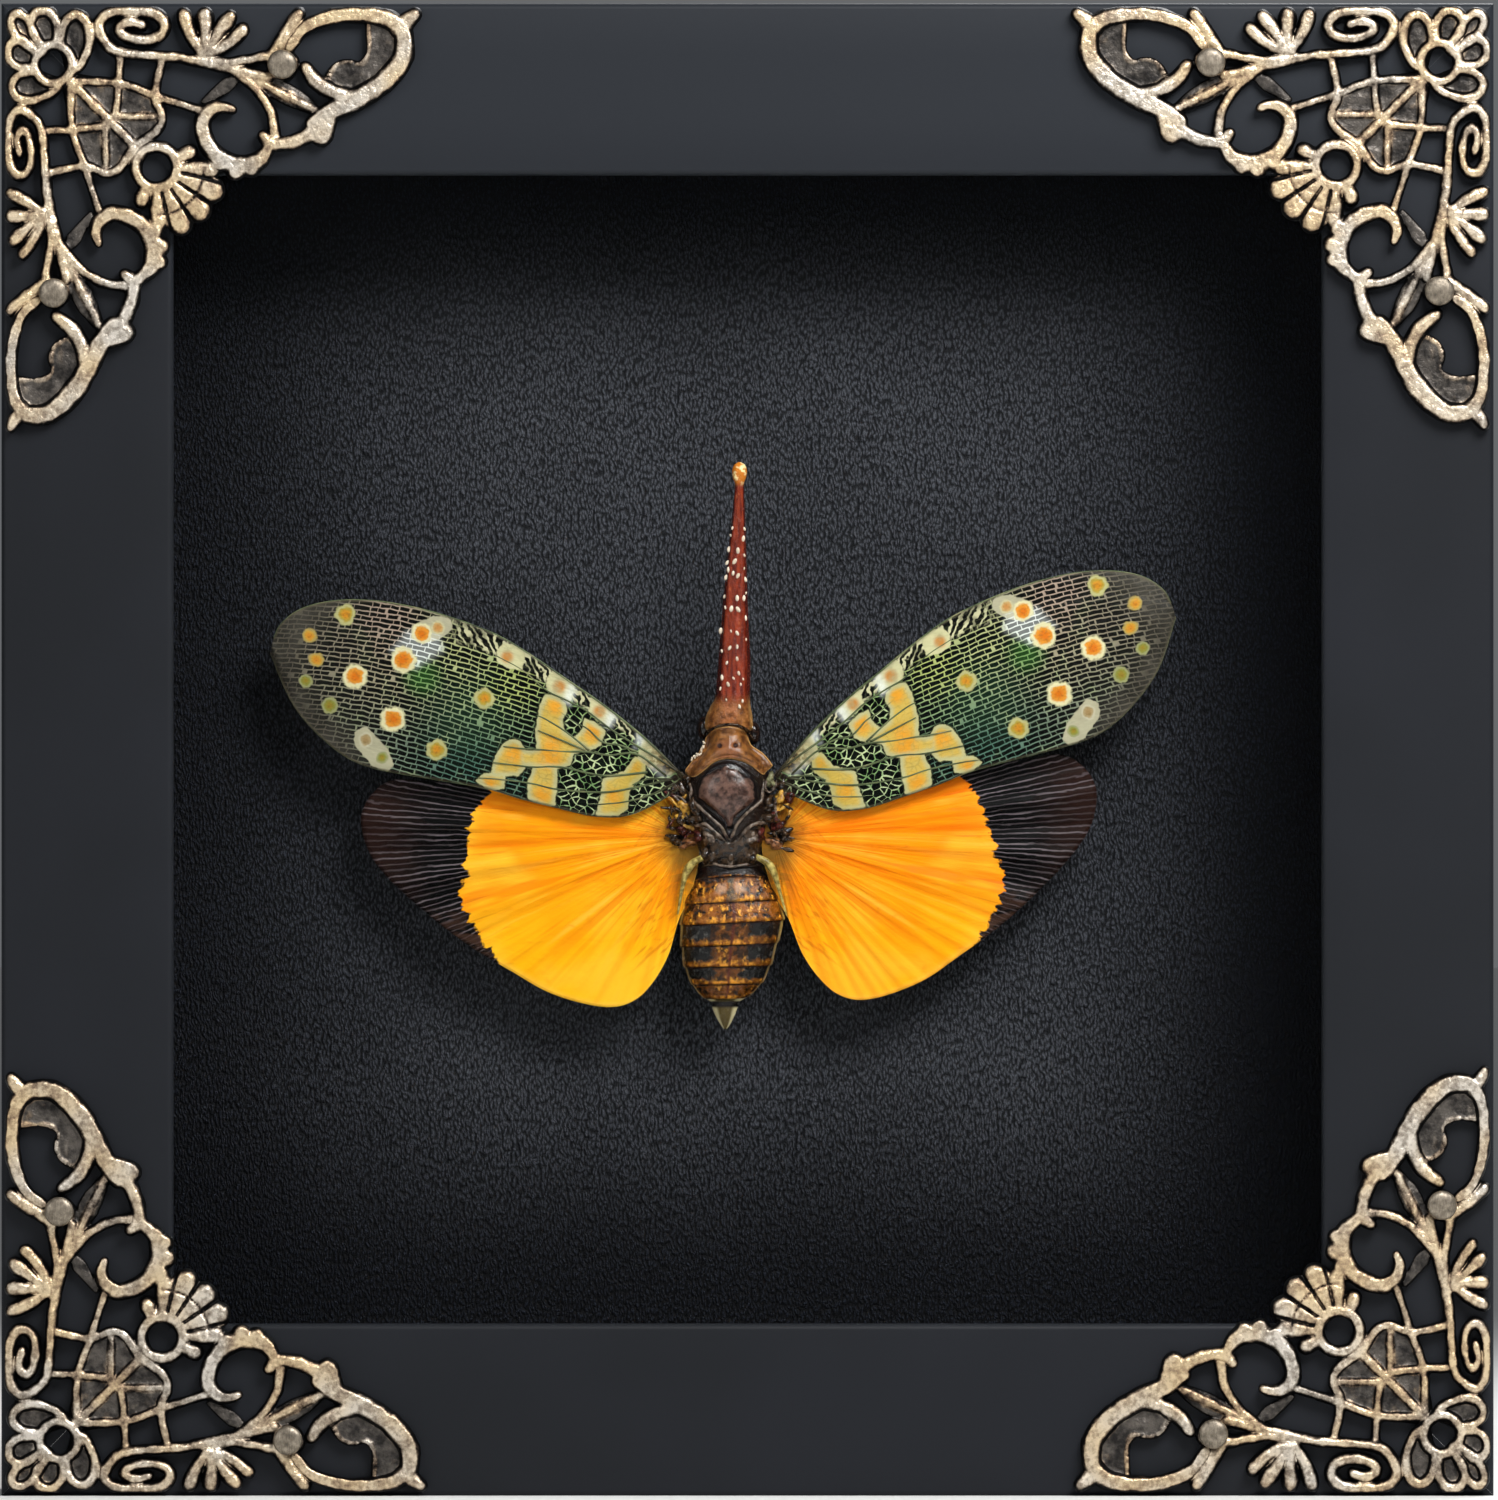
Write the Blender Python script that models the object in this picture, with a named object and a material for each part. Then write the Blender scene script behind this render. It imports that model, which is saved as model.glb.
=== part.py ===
"""Framed lanternfly specimen: a small black shadow box with cast filigree corners.

The box stands upright on its bottom edge. Its front looks towards -Y, +X is to the viewer's right
and +Z is up. The origin is the middle of the bottom of the whole object. Lengths are in metres.
"""

import math

import bmesh
import bpy
import numpy as np
from mathutils import Matrix, Vector
from mathutils.geometry import delaunay_2d_cdt

MM = 0.001
GAP = 0.3 * MM

# Frame
FRAME_SIDE = 127.0 * MM
HALF_SIDE = FRAME_SIDE / 2
MOULDING_WIDTH = 14.6 * MM
MOULDING_DEPTH = 24.0 * MM
FRONT_Y = -MOULDING_DEPTH / 2
BACK_Y = MOULDING_DEPTH / 2
LIP_DEPTH = 3.0 * MM
RABBET_WIDTH = 5.0 * MM
EASED_EDGE = 0.5 * MM

# What lies in the rabbet, from the front to the back
GLASS_THICKNESS = 2.0 * MM
SPACER_WIDTH = 4.2 * MM
CARD_THICKNESS = 1.6 * MM
BOARD_THICKNESS = 3.0 * MM
CARD_FRONT_Y = 5.0 * MM
RABBET_HALF = HALF_SIDE - MOULDING_WIDTH + RABBET_WIDTH
PANEL_HALF = RABBET_HALF - GAP
GLASS_FRONT_Y = FRONT_Y + LIP_DEPTH + GAP
GLASS_BACK_Y = GLASS_FRONT_Y + GLASS_THICKNESS
BOARD_FRONT_Y = CARD_FRONT_Y + CARD_THICKNESS + GAP
BOARD_BACK_Y = BOARD_FRONT_Y + BOARD_THICKNESS

# Steel points that hold the back board
TAB_WIDTH = 6.0 * MM
TAB_LENGTH = 11.0 * MM
TAB_IN_WOOD = 4.0 * MM
TAB_THICKNESS = 0.6 * MM

# Sawtooth hanger on the back of the top bar
HANGER_LENGTH = 44.0 * MM
HANGER_HEIGHT = 7.0 * MM
HANGER_THICKNESS = 0.8 * MM
HANGER_TEETH = 11
HANGER_RISE = 2.0 * MM
TOOTH_HEIGHT = 1.6 * MM
TOOTHED_LENGTH = 27.3 * MM
NAIL_OFFSET = 18.5 * MM
NAIL_RADIUS = 0.6 * MM
NAIL_POINT_RADIUS = 0.3 * MM
NAIL_HEAD_RADIUS = 1.5 * MM
NAIL_LENGTH = 7.0 * MM
NAIL_HEAD_RISE = 0.9 * MM
NAIL_SIDES = 8

# Round-headed tacks that hold the corner ornaments
TACK_LONG = 24.3 * MM
TACK_SHORT = 4.85 * MM
TACK_HEAD_RADIUS = 1.25 * MM
TACK_SHANK_RADIUS = 0.5 * MM
TACK_POINT_RADIUS = 0.2 * MM
TACK_LENGTH = 5.5 * MM
TACK_HEAD_RISE = 0.55 * MM
TACK_SIDES = 8
HOLE_CLEARANCE = 0.3 * MM
HOLE_SIDES = 6

# Corner ornaments. Each was cast as one piece and sits a little off its corner's diagonal.
CASTING_HEIGHT = 1.15 * MM
EDGE_MARGIN = 0.3 * MM
SLIDE_START = 4.0 * MM
CORNERS = {
    "top_left": (-1, 1, -0.38 * MM, 0.38 * MM),
    "top_right": (1, 1, -0.20 * MM, 0.20 * MM),
    "bottom_left": (-1, -1, 0.10 * MM, -0.10 * MM),
    "bottom_right": (1, -1, -0.43 * MM, 0.43 * MM),
}

# Specimen
BODY_X = -1.55 * MM
BLOCK_SIZE = (1.8 * MM, 1.4 * MM, 7.0 * MM)
BLOCK_Z = 58.0 * MM
WING_THICKNESS = 0.3 * MM
FOREWING_ROOT = (3.66 * MM, -1.9 * MM, 60.82 * MM)
FOREWING_ANGLES = {"left": math.radians(17.5), "right": math.radians(22.5)}
HINDWING_ROOT = (3.66 * MM, -1.0 * MM, 57.42 * MM)
HINDWING_ANGLES = {"left": 0.0, "right": math.radians(5.0)}
WING_DROOP = 2.2 * MM
WING_CAMBER = 0.5 * MM
WING_STRIPS = 3
HINDWING_DROOP = 2.0 * MM
HINDWING_STRIPS = 2
HUB_SHARE = 0.04
PLEAT_HEIGHT = 0.22 * MM


def remove_default_objects():
    for ob in list(bpy.data.objects):
        bpy.data.objects.remove(ob)


def material(name, color, roughness, metallic=0.0, clear=0.0):
    mat = bpy.data.materials.new(name)
    mat.use_nodes = True
    shader = mat.node_tree.nodes["Principled BSDF"]
    shader.inputs["Base Color"].default_value = (*color, 1.0)
    shader.inputs["Roughness"].default_value = roughness
    shader.inputs["Metallic"].default_value = metallic
    shader.inputs["Transmission Weight"].default_value = clear
    mat.diffuse_color = (*color, 1.0)
    return mat


def make_object(name, bm, mat, smooth=False, recalculate=True):
    """Turns the bmesh into a named object with outward faces."""
    if recalculate:
        bmesh.ops.recalc_face_normals(bm, faces=bm.faces[:])
    mesh = bpy.data.meshes.new(name)
    bm.to_mesh(mesh)
    bm.free()
    if smooth:
        mesh.shade_smooth()
        mesh.set_sharp_from_angle(angle=math.radians(40))
    mesh.materials.append(mat)
    ob = bpy.data.objects.new(name, mesh)
    bpy.context.scene.collection.objects.link(ob)
    return ob


def apply_modifiers(ob):
    """Replaces the mesh by its evaluated form."""
    graph = bpy.context.evaluated_depsgraph_get()
    evaluated = bpy.data.meshes.new_from_object(ob.evaluated_get(graph))
    ob.modifiers.clear()
    ob.data = evaluated


def combine(ob, other, operation):
    """Unites ob with other, or cuts other out of it, and removes other."""
    cut = ob.modifiers.new("Combine", "BOOLEAN")
    cut.operation = operation
    cut.solver = "EXACT"
    cut.object = other
    bpy.context.view_layer.update()
    apply_modifiers(ob)
    bpy.data.objects.remove(other)


def box(name, center, size, mat):
    bm = bmesh.new()
    bmesh.ops.create_cube(bm, size=1.0, matrix=Matrix.Diagonal((*size, 1.0)))
    ob = make_object(name, bm, mat)
    ob.location = center
    return ob


def solid_of_rings(name, rings, mat, smooth=True):
    """Bridges closed rings of equal point count and closes both ends."""
    bm = bmesh.new()
    loops = [[bm.verts.new(p) for p in ring] for ring in rings]
    count = len(loops[0])
    for lower, upper in zip(loops, loops[1:]):
        for i in range(count):
            j = (i + 1) % count
            bm.faces.new((lower[i], lower[j], upper[j], upper[i]))
    bm.faces.new(loops[0][::-1])
    bm.faces.new(loops[-1])
    return make_object(name, bm, mat, smooth)


# The frame

def moulding_profile():
    """(distance in from the outer edge, y) round the bar's section."""
    e = EASED_EDGE
    back_width = MOULDING_WIDTH - RABBET_WIDTH
    return [
        (0.0, FRONT_Y + e),
        (e, FRONT_Y),
        (MOULDING_WIDTH - e, FRONT_Y),
        (MOULDING_WIDTH, FRONT_Y + e),
        (MOULDING_WIDTH, FRONT_Y + LIP_DEPTH),
        (back_width, FRONT_Y + LIP_DEPTH),
        (back_width, BACK_Y),
        (0.0, BACK_Y),
    ]


def frame_point(side, along, inward, y):
    """A point on a bar: along it, and inward from its outer edge."""
    reach = HALF_SIDE - inward
    x, z = {
        "top": (along, reach),
        "bottom": (-along, -reach),
        "left": (-reach, along),
        "right": (reach, -along),
    }[side]
    return Vector((x, y, z + HALF_SIDE))


def make_moulding(side, mat):
    rings = []
    for end in (-1, 1):
        rings.append([
            frame_point(side, end * (HALF_SIDE - inward - GAP / 2), inward, y)
            for inward, y in moulding_profile()
        ])
    return solid_of_rings(f"moulding_{side}", rings, mat, smooth=False)


def make_tab(side, mat):
    """A flat steel point: partly in a slot in the bar, partly over the back board."""
    inner = MOULDING_WIDTH - RABBET_WIDTH - TAB_IN_WOOD + TAB_LENGTH / 2
    center = frame_point(side, 0.0, inner, BOARD_BACK_Y + GAP + TAB_THICKNESS / 2)
    flat = side in ("top", "bottom")
    size = (TAB_WIDTH, TAB_THICKNESS, TAB_LENGTH) if flat else (TAB_LENGTH, TAB_THICKNESS, TAB_WIDTH)
    return box(f"tab_{side}", center, size, mat)


def cut_slot(bar, tab, mat):
    """Cuts a slot in the bar that leaves a gap all round the tab."""
    size = [d + 2 * GAP for d in tab.dimensions]
    combine(bar, box("slot", tab.location, size, mat), "DIFFERENCE")


def cylinder(name, center, radius, depth, sides, mat):
    """A cylinder along Y."""
    bm = bmesh.new()
    turn = Matrix.Rotation(math.radians(90), 4, "X")
    bmesh.ops.create_cone(
        bm, segments=sides, radius1=radius, radius2=radius, depth=depth, cap_ends=True, matrix=turn
    )
    ob = make_object(name, bm, mat)
    ob.location = center
    return ob


def turned_pin(name, center, outline, sides, mat):
    """A solid turned about Y. outline is (radius, distance out along -Y from center)."""
    x, y, z = center
    rings = []
    for radius, out in outline:
        rings.append([
            (x + radius * math.cos(2 * math.pi * k / sides), y - out,
             z + radius * math.sin(2 * math.pi * k / sides))
            for k in range(sides)
        ])
    return solid_of_rings(name, rings, mat)


def make_hanger(mat, bar):
    """The sawtooth plate, its two nails and their holes in the bar."""
    z_mid = FRAME_SIDE - MOULDING_WIDTH / 2 + HANGER_RISE
    half, top = HANGER_LENGTH / 2, HANGER_HEIGHT / 2
    pitch = TOOTHED_LENGTH / HANGER_TEETH
    outline = [(-half, top), (half, top), (half, -top), (TOOTHED_LENGTH / 2, -top)]
    for i in range(HANGER_TEETH):
        x = TOOTHED_LENGTH / 2 - (i + 0.5) * pitch
        outline.append((x, -top + TOOTH_HEIGHT))
        outline.append((x - pitch / 2, -top))
    outline.append((-half, -top))
    y0 = BACK_Y + GAP
    rings = [[(x, y, z_mid + z) for x, z in outline] for y in (y0, y0 + HANGER_THICKNESS)]
    plate = solid_of_rings("hanger_plate", rings, mat, smooth=False)
    hole = NAIL_RADIUS + HOLE_CLEARANCE
    head_y = y0 + HANGER_THICKNESS + GAP
    for side, x in (("left", -NAIL_OFFSET), ("right", NAIL_OFFSET)):
        for drilled in (plate, bar):
            drill = cylinder("hole", (x, BACK_Y, z_mid), hole, 2 * NAIL_LENGTH, HOLE_SIDES, mat)
            combine(drilled, drill, "DIFFERENCE")
        outline = [
            (NAIL_POINT_RADIUS, NAIL_LENGTH),
            (NAIL_RADIUS, 0.0),
            (NAIL_HEAD_RADIUS, 0.0),
            (NAIL_HEAD_RADIUS * 0.8, -NAIL_HEAD_RISE),
        ]
        turned_pin(f"hanger_nail_{side}", (x, head_y, z_mid), outline, NAIL_SIDES, mat)


# The corner ornament. Strokes are (u, v, half width) in millimetres, with u and v measured from the
# two outer edges of the frame. Each listed stroke lies above the diagonal, and its mirror below.

RIM_STROKES = [
    # Oval scroll beside the flower
    [(12.8, 4.05, .3), (10.5, 3.85, .34), (8.9, 2.6, .32), (9.2, 1.0, .32), (11.3, .6, .3),
     (13.7, .85, .3), (14.5, 1.9, .32), (13.4, 2.95, .28), (11.2, 2.7, .26), (10.3, 2.0, .24),
     (11.3, 1.45, .2), (12.5, 1.6, .2)],
    # Bar from the tack to the outer edge
    [(23.5, 4.0, .42), (25.9, .8, .42)],
    # Teardrop loop, then its hooked end
    [(27.0, 9.9, .6), (28.4, 8.9, .66), (32.2, 7.1, .74), (34.4, 4.8, .66), (34.75, 2.3, .55),
     (33.6, 1.2, .5), (31.2, .75, .45), (28.6, .95, .42), (26.1, 1.9, .4), (24.9, 3.5, .32)],
    [(30.5, 7.5, .4), (28.9, 7.4, .42), (27.4, 6.5, .44), (26.4, 5.1, .36)],
    # Bud at the end of the leg
    [(34.2, 2.0, .6), (35.7, .8, .42)],
    # Knob and the strip from it to the C-scroll
    [(28.2, 9.4, .62), (27.7, 11.1, .7)],
    [(27.6, 10.2, .62), (26.2, 11.0, .5), (24.6, 11.7, .46), (23.3, 11.6, .4)],
    # C-scroll
    [(20.1, 8.7, .2), (19.1, 8.45, .34), (17.8, 8.95, .44), (17.5, 10.8, .5), (18.7, 12.7, .6),
     (20.5, 13.6, .66), (22.1, 13.3, .6), (23.3, 11.4, .34)],
    # Fan of four petals on the outer edge
    [(17.4, 3.6, .3), (16.1, .95, .5)],
    [(17.9, 3.9, .26), (17.9, .95, .5)],
    [(18.3, 3.9, .26), (19.8, 1.1, .52)],
    [(17.3, 3.9, .28), (19.4, 3.4, .38), (20.9, 2.3, .48)],
]
STEM_STROKES = [
    # Two stems from the scroll to the tack
    [(12.5, 4.1, .28), (19.7, 4.65, .34), (22.6, 4.2, .36), (23.4, 4.3, .36)],
    [(16.2, 4.5, .26), (19.0, 5.05, .34), (23.2, 5.95, .34)],
    # Curve from the stem down to the strip, and the leaf beside it
    [(20.0, 5.3, .28), (22.2, 7.1, .32), (23.4, 9.1, .34), (23.7, 11.3, .36)],
    [(20.8, 5.6, .24), (23.4, 6.9, .36), (27.4, 8.9, .34)],
    # Lattice between the flower and the C-scroll
    [(6.0, 6.3, .28), (10.2, 6.4, .28), (13.5, 7.5, .28), (17.6, 8.8, .26)],
    [(10.5, 4.0, .26), (10.1, 9.2, .26)],
    [(14.1, 4.2, .28), (13.5, 7.5, .3), (14.1, 9.3, .3), (13.6, 10.5, .32), (11.8, 11.8, .34)],
    [(9.8, 9.3, .24), (14.1, 9.3, .26)],
]
DIAGONAL_STROKE = [(6.0, 6.0, .3), (12.0, 12.0, .36)]
FLOWER_PETALS = [
    [(3.9, 3.5, .24), (2.9, 2.2, .26), (3.2, .75, .26), (4.4, .65, .28), (5.1, 1.7, .26),
     (5.1, 3.3, .24)],
    [(5.4, 3.4, .24), (5.7, 1.5, .26), (6.8, .75, .28), (7.9, 2.2, .28), (7.3, 4.5, .26),
     (6.0, 5.4, .24)],
]
CORNER_PETAL = [(4.0, 3.7, .24), (2.6, 1.3, .26), (1.3, .75, .28), (.75, 1.3, .28), (1.3, 2.6, .26),
                (3.7, 4.0, .24)]
FLOWER_RING = (4.83, 1.56, .3)
SHELL_RING = (13.58, 1.72, .36)
# Lobes of the shell: angle from the diagonal in degrees, length, half width at the tip
SHELL_LOBES = [(0.0, 5.95, .8), (23.0, 5.8, .8), (43.0, 5.2, .42), (68.0, 3.7, .55)]
STROKE_TOLERANCE = 0.15
ROUNDED_FROM = 0.4
EYELET_RADIUS = 1.25
WELD_DISTANCE = 0.02


def simplified(path, tolerance):
    """Leaves out the points that lie within the tolerance of a straight run."""
    start, end = path[0], path[-1]
    run = end - start
    length = np.linalg.norm(run) or 1.0
    away = [np.linalg.norm(p - start - run * np.dot(p - start, run) / length**2) for p in path]
    far = int(np.argmax(away))
    if away[far] <= tolerance or len(path) < 3:
        return np.array([start, end])
    return np.vstack([simplified(path[:far + 1], tolerance)[:-1], simplified(path[far:], tolerance)])


def stroke_faces(points, closed=False):
    """Quads of a ribbon of varying width along a path. A wide far end is rounded off."""
    path = np.array(points) if closed else simplified(np.array(points), STROKE_TOLERANCE)
    centers, widths = path[:, :2], path[:, 2]
    if closed:
        ahead, behind = np.roll(centers, -1, 0), np.roll(centers, 1, 0)
    else:
        ahead = np.vstack([centers[1:], centers[-1:]])
        behind = np.vstack([centers[:1], centers[:-1]])
    tangents = ahead - behind
    tangents /= np.linalg.norm(tangents, axis=1)[:, None]
    normals = np.stack([-tangents[:, 1], tangents[:, 0]], axis=1)
    left = centers + normals * widths[:, None]
    right = centers - normals * widths[:, None]
    count = len(centers)
    faces = []
    for i in range(count if closed else count - 1):
        j = (i + 1) % count
        faces.append([left[i], left[j], right[j], right[i]])
    if widths[-1] >= ROUNDED_FROM and not closed:
        tip = centers[-1] * 0.5 + tangents[-1] * widths[-1] * 0.9
        faces.append([left[-1], left[-1] * 0.5 + tip, right[-1] * 0.5 + tip, right[-1]])
    return faces


def ring_points(center, radius, width, count):
    return [
        (center + radius * math.cos(2 * math.pi * k / count),
         center + radius * math.sin(2 * math.pi * k / count), width)
        for k in range(count)
    ]


def mirrored(face):
    return [np.array((p[1], p[0])) for p in face]


def both_sides(faces):
    return faces + [mirrored(f) for f in faces]


def shell_faces():
    """The lobes that fan out from the shell's ring, on both sides of the diagonal."""
    center, ring, _ = SHELL_RING
    faces = []
    for angle, length, tip in SHELL_LOBES:
        turn = math.radians(45 - angle)
        way = np.array((math.cos(turn), math.sin(turn)))
        start = center + way * ring
        end = center + way * (length - tip * 0.2)
        middle = start * 0.45 + end * 0.55
        lobe = stroke_faces([(*start, 0.2), (*middle, 0.2 + tip * 0.25), (*end, tip)])
        faces += lobe if angle == 0.0 else both_sides(lobe)
    return faces


def disc_face(center, radius, count):
    return [
        np.array((center[0] + radius * math.cos(2 * math.pi * k / count),
                  center[1] + radius * math.sin(2 * math.pi * k / count)))
        for k in range(count)
    ]


def rim_faces():
    faces = both_sides([f for stroke in RIM_STROKES for f in stroke_faces(stroke)])
    flower, flower_r, flower_w = FLOWER_RING
    shell, shell_r, shell_w = SHELL_RING
    faces += stroke_faces(ring_points(flower, flower_r, flower_w, 7), closed=True)
    faces += stroke_faces(ring_points(shell, shell_r, shell_w, 8), closed=True)
    faces += shell_faces()
    return faces


def stem_faces():
    faces = both_sides([f for stroke in STEM_STROKES for f in stroke_faces(stroke)])
    faces += both_sides([f for petal in FLOWER_PETALS for f in stroke_faces(petal)])
    faces += stroke_faces(CORNER_PETAL)
    faces += stroke_faces(DIAGONAL_STROKE)
    eyelet = disc_face((TACK_LONG / MM, TACK_SHORT / MM), EYELET_RADIUS, 8)
    return faces + both_sides([eyelet])


def signed_area(face):
    return 0.5 * sum(a[0] * b[1] - a[1] * b[0] for a, b in zip(face, face[1:] + face[:1]))


def flat_plate(name, faces, height, mat):
    """One prism over the union of the flat faces, from y 0 towards -Y."""
    verts, polygons = [], []
    for face in faces:
        turned = face if signed_area(face) > 0 else face[::-1]
        polygons.append(list(range(len(verts), len(verts) + len(face))))
        verts += [Vector((float(p[0]), float(p[1]))) for p in turned]
    points, _, triangles, _, _, sources = delaunay_2d_cdt(verts, [], polygons, 0, WELD_DISTANCE)
    bm = bmesh.new()
    made = [bm.verts.new((p.x * MM, 0.0, p.y * MM)) for p in points]
    for triangle, source in zip(triangles, sources):
        if source:
            bm.faces.new([made[i] for i in triangle])
    bmesh.ops.delete(bm, geom=[v for v in bm.verts if not v.link_faces], context="VERTS")
    bmesh.ops.dissolve_limit(
        bm, angle_limit=math.radians(1), use_dissolve_boundaries=False, verts=bm.verts[:],
        edges=bm.edges[:]
    )
    bottom = bm.faces[:]
    grown = bmesh.ops.extrude_face_region(bm, geom=bottom, use_keep_orig=True)
    top = [g for g in grown["geom"] if isinstance(g, bmesh.types.BMVert)]
    bmesh.ops.translate(bm, verts=top, vec=(0.0, -height, 0.0))
    return make_object(name, bm, mat)


def place_in_corner(point, flip_x, flip_z, slide_u, slide_v):
    """From the ornament's own u, y, v to the frame. The slide fades out towards the outer edges."""
    def slid(value, slide):
        share = min(max(value / SLIDE_START, 0.0), 1.0)
        moved = value + slide * share * share * (3 - 2 * share)
        return max(moved, EDGE_MARGIN)

    u, v = slid(point.x, slide_u), slid(point.z, slide_v)
    return Vector((flip_x * (HALF_SIDE - u), FRONT_Y - GAP + point.y,
                   HALF_SIDE + flip_z * (HALF_SIDE - v)))


def make_ornaments(mat):
    """The four corner castings and the places of their tacks."""
    casting = flat_plate("casting", rim_faces() + stem_faces(), CASTING_HEIGHT, mat)
    hole = TACK_SHANK_RADIUS + HOLE_CLEARANCE
    for u, v in ((TACK_LONG, TACK_SHORT), (TACK_SHORT, TACK_LONG)):
        drill = cylinder("hole", (u, 0.0, v), hole, TACK_LENGTH, HOLE_SIDES, mat)
        combine(casting, drill, "DIFFERENCE")
    tacks = {}
    for corner, (flip_x, flip_z, slide_u, slide_v) in CORNERS.items():
        bm = bmesh.new()
        bm.from_mesh(casting.data)
        for vert in bm.verts:
            vert.co = place_in_corner(vert.co, flip_x, flip_z, slide_u, slide_v)
        if flip_x * flip_z < 0:
            bmesh.ops.reverse_faces(bm, faces=bm.faces[:])
        make_object(f"ornament_{corner}", bm, mat, recalculate=False)
        for leg, (u, v) in (("upright", (TACK_SHORT, TACK_LONG)), ("level", (TACK_LONG, TACK_SHORT))):
            spot = place_in_corner(Vector((u, 0.0, v)), flip_x, flip_z, slide_u, slide_v)
            tacks[f"tack_{corner}_{leg}"] = (spot.x, spot.z)
    bpy.data.objects.remove(casting)
    return tacks


def make_tacks(tacks, bars, mat):
    """Each tack has a domed head over its eyelet and a shank in a hole in the bar."""
    head_y = FRONT_Y - GAP - CASTING_HEIGHT - GAP
    hole_radius = TACK_SHANK_RADIUS + HOLE_CLEARANCE
    for name, (x, z) in tacks.items():
        outline = [
            (TACK_POINT_RADIUS, -TACK_LENGTH),
            (TACK_SHANK_RADIUS, 0.0),
            (TACK_HEAD_RADIUS, 0.0),
            (TACK_HEAD_RADIUS * 0.85, TACK_HEAD_RISE * 0.7),
            (TACK_HEAD_RADIUS * 0.4, TACK_HEAD_RISE),
        ]
        turned_pin(name, (x, head_y, z), outline, TACK_SIDES, mat)
        reach = {
            "top": FRAME_SIDE - z, "bottom": z, "left": HALF_SIDE + x, "right": HALF_SIDE - x,
        }
        bar = bars[min(reach, key=reach.get)]
        hole = cylinder("hole", (x, FRONT_Y, z), hole_radius, 2 * TACK_LENGTH, HOLE_SIDES, mat)
        combine(bar, hole, "DIFFERENCE")


# The specimen. Sections of the body are (z, middle x, half width, front y, back y) in millimetres.

BODY_SECTIONS = [
    (88.0, -.68, .25, -3.05, -2.55),
    (87.7, -.68, .52, -3.3, -2.3),
    (87.15, -.68, .66, -3.4, -2.1),
    (86.5, -.69, .5, -3.2, -2.2),
    (85.75, -.7, .4, -3.0, -2.2),
    (83.0, -.78, .56, -2.85, -1.75),
    (80.0, -.9, .77, -2.75, -1.25),
    (75.7, -1.05, 1.04, -2.65, -.6),
    (71.5, -1.12, 1.3, -2.6, 0.0),
    (68.0, -1.25, 1.45, -2.6, .5),
    (67.0, -1.5, 1.75, -2.65, 1.0),
    (66.4, -1.55, 2.0, -2.7, 1.4),
    (65.6, -1.55, 2.02, -2.6, 1.6),
    (65.0, -1.5, 1.75, -2.2, 1.6),
    (64.8, -1.5, 1.75, -2.5, 1.7),
    (63.9, -1.55, 2.0, -3.0, 2.0),
    (62.6, -1.6, 2.95, -3.35, 2.4),
    (61.5, -1.65, 3.7, -3.6, 2.7),
    (61.2, -1.65, 3.75, -3.3, 2.8),
    (59.5, -1.65, 3.85, -3.75, 3.0),
    (57.6, -1.6, 3.6, -3.6, 3.0),
    (56.0, -1.6, 3.3, -3.2, 3.0),
    (54.6, -1.55, 3.0, -2.5, 2.9),
    (53.7, -1.5, 2.95, -1.8, 2.8),
    (52.8, -1.45, 3.4, -1.95, 2.8),
    (51.0, -1.4, 4.1, -2.5, 2.9),
    (50.6, -1.4, 4.0, -2.25, 2.9),
    (49.0, -1.35, 4.5, -2.8, 3.0),
    (48.6, -1.35, 4.35, -2.5, 2.9),
    (47.1, -1.5, 4.3, -2.7, 2.9),
    (46.7, -1.55, 4.1, -2.4, 2.8),
    (45.5, -1.65, 3.9, -2.5, 2.6),
    (45.1, -1.7, 3.7, -2.2, 2.5),
    (44.0, -1.75, 3.35, -2.1, 2.2),
    (43.6, -1.75, 3.1, -1.8, 2.1),
    (42.5, -1.8, 2.2, -1.4, 1.6),
    (42.2, -1.95, 1.35, -1.0, 1.2),
    (40.8, -1.9, .85, -.6, .8),
    (39.5, -1.9, .15, -.1, .2),
]
BODY_SIDES = 10
BODY_FULLNESS = 2.3
EYES = [(-3.75, -.3, 65.2), (.5, -.3, 64.9)]
EYE_RADII = (.55, .7, .85)
# Outlines in each wing's own plane: outwards from its root, and towards its leading edge.
FOREWING_LEADING = [(.4, .3), (4.4, 2.35), (8.6, 4.0), (12.0, 5.05), (15.8, 6.2), (19.2, 7.0),
                    (23.2, 7.25), (27.0, 7.1), (30.5, 6.55), (33.5, 5.55), (35.85, 4.1), (37.1, 2.4),
                    (37.35, 1.0)]
FOREWING_TRAILING = [(.4, -.9), (2.3, -3.0), (4.15, -4.45), (6.7, -5.25), (9.6, -5.5),
                     (13.0, -5.72), (16.5, -5.8), (22.9, -6.7), (26.5, -7.05), (29.1, -6.6),
                     (32.1, -5.25), (34.5, -3.5), (37.25, -.3)]
HINDWING_EDGE = [(3.4, 1.9), (10.7, 2.3), (21.6, 3.3), (25.0, 3.5), (26.8, 2.4), (27.8, .6),
                 (27.65, -1.4), (26.7, -3.5), (24.7, -5.75), (22.15, -8.0), (19.8, -9.85),
                 (17.6, -11.35), (14.8, -13.0), (12.0, -14.6), (9.0, -15.6), (6.4, -15.95),
                 (4.5, -15.4), (3.0, -14.0), (1.6, -11.6), (.8, -8.5), (.35, -5.5)]
HINDWING_HUB = (.0, -1.4)
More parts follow.
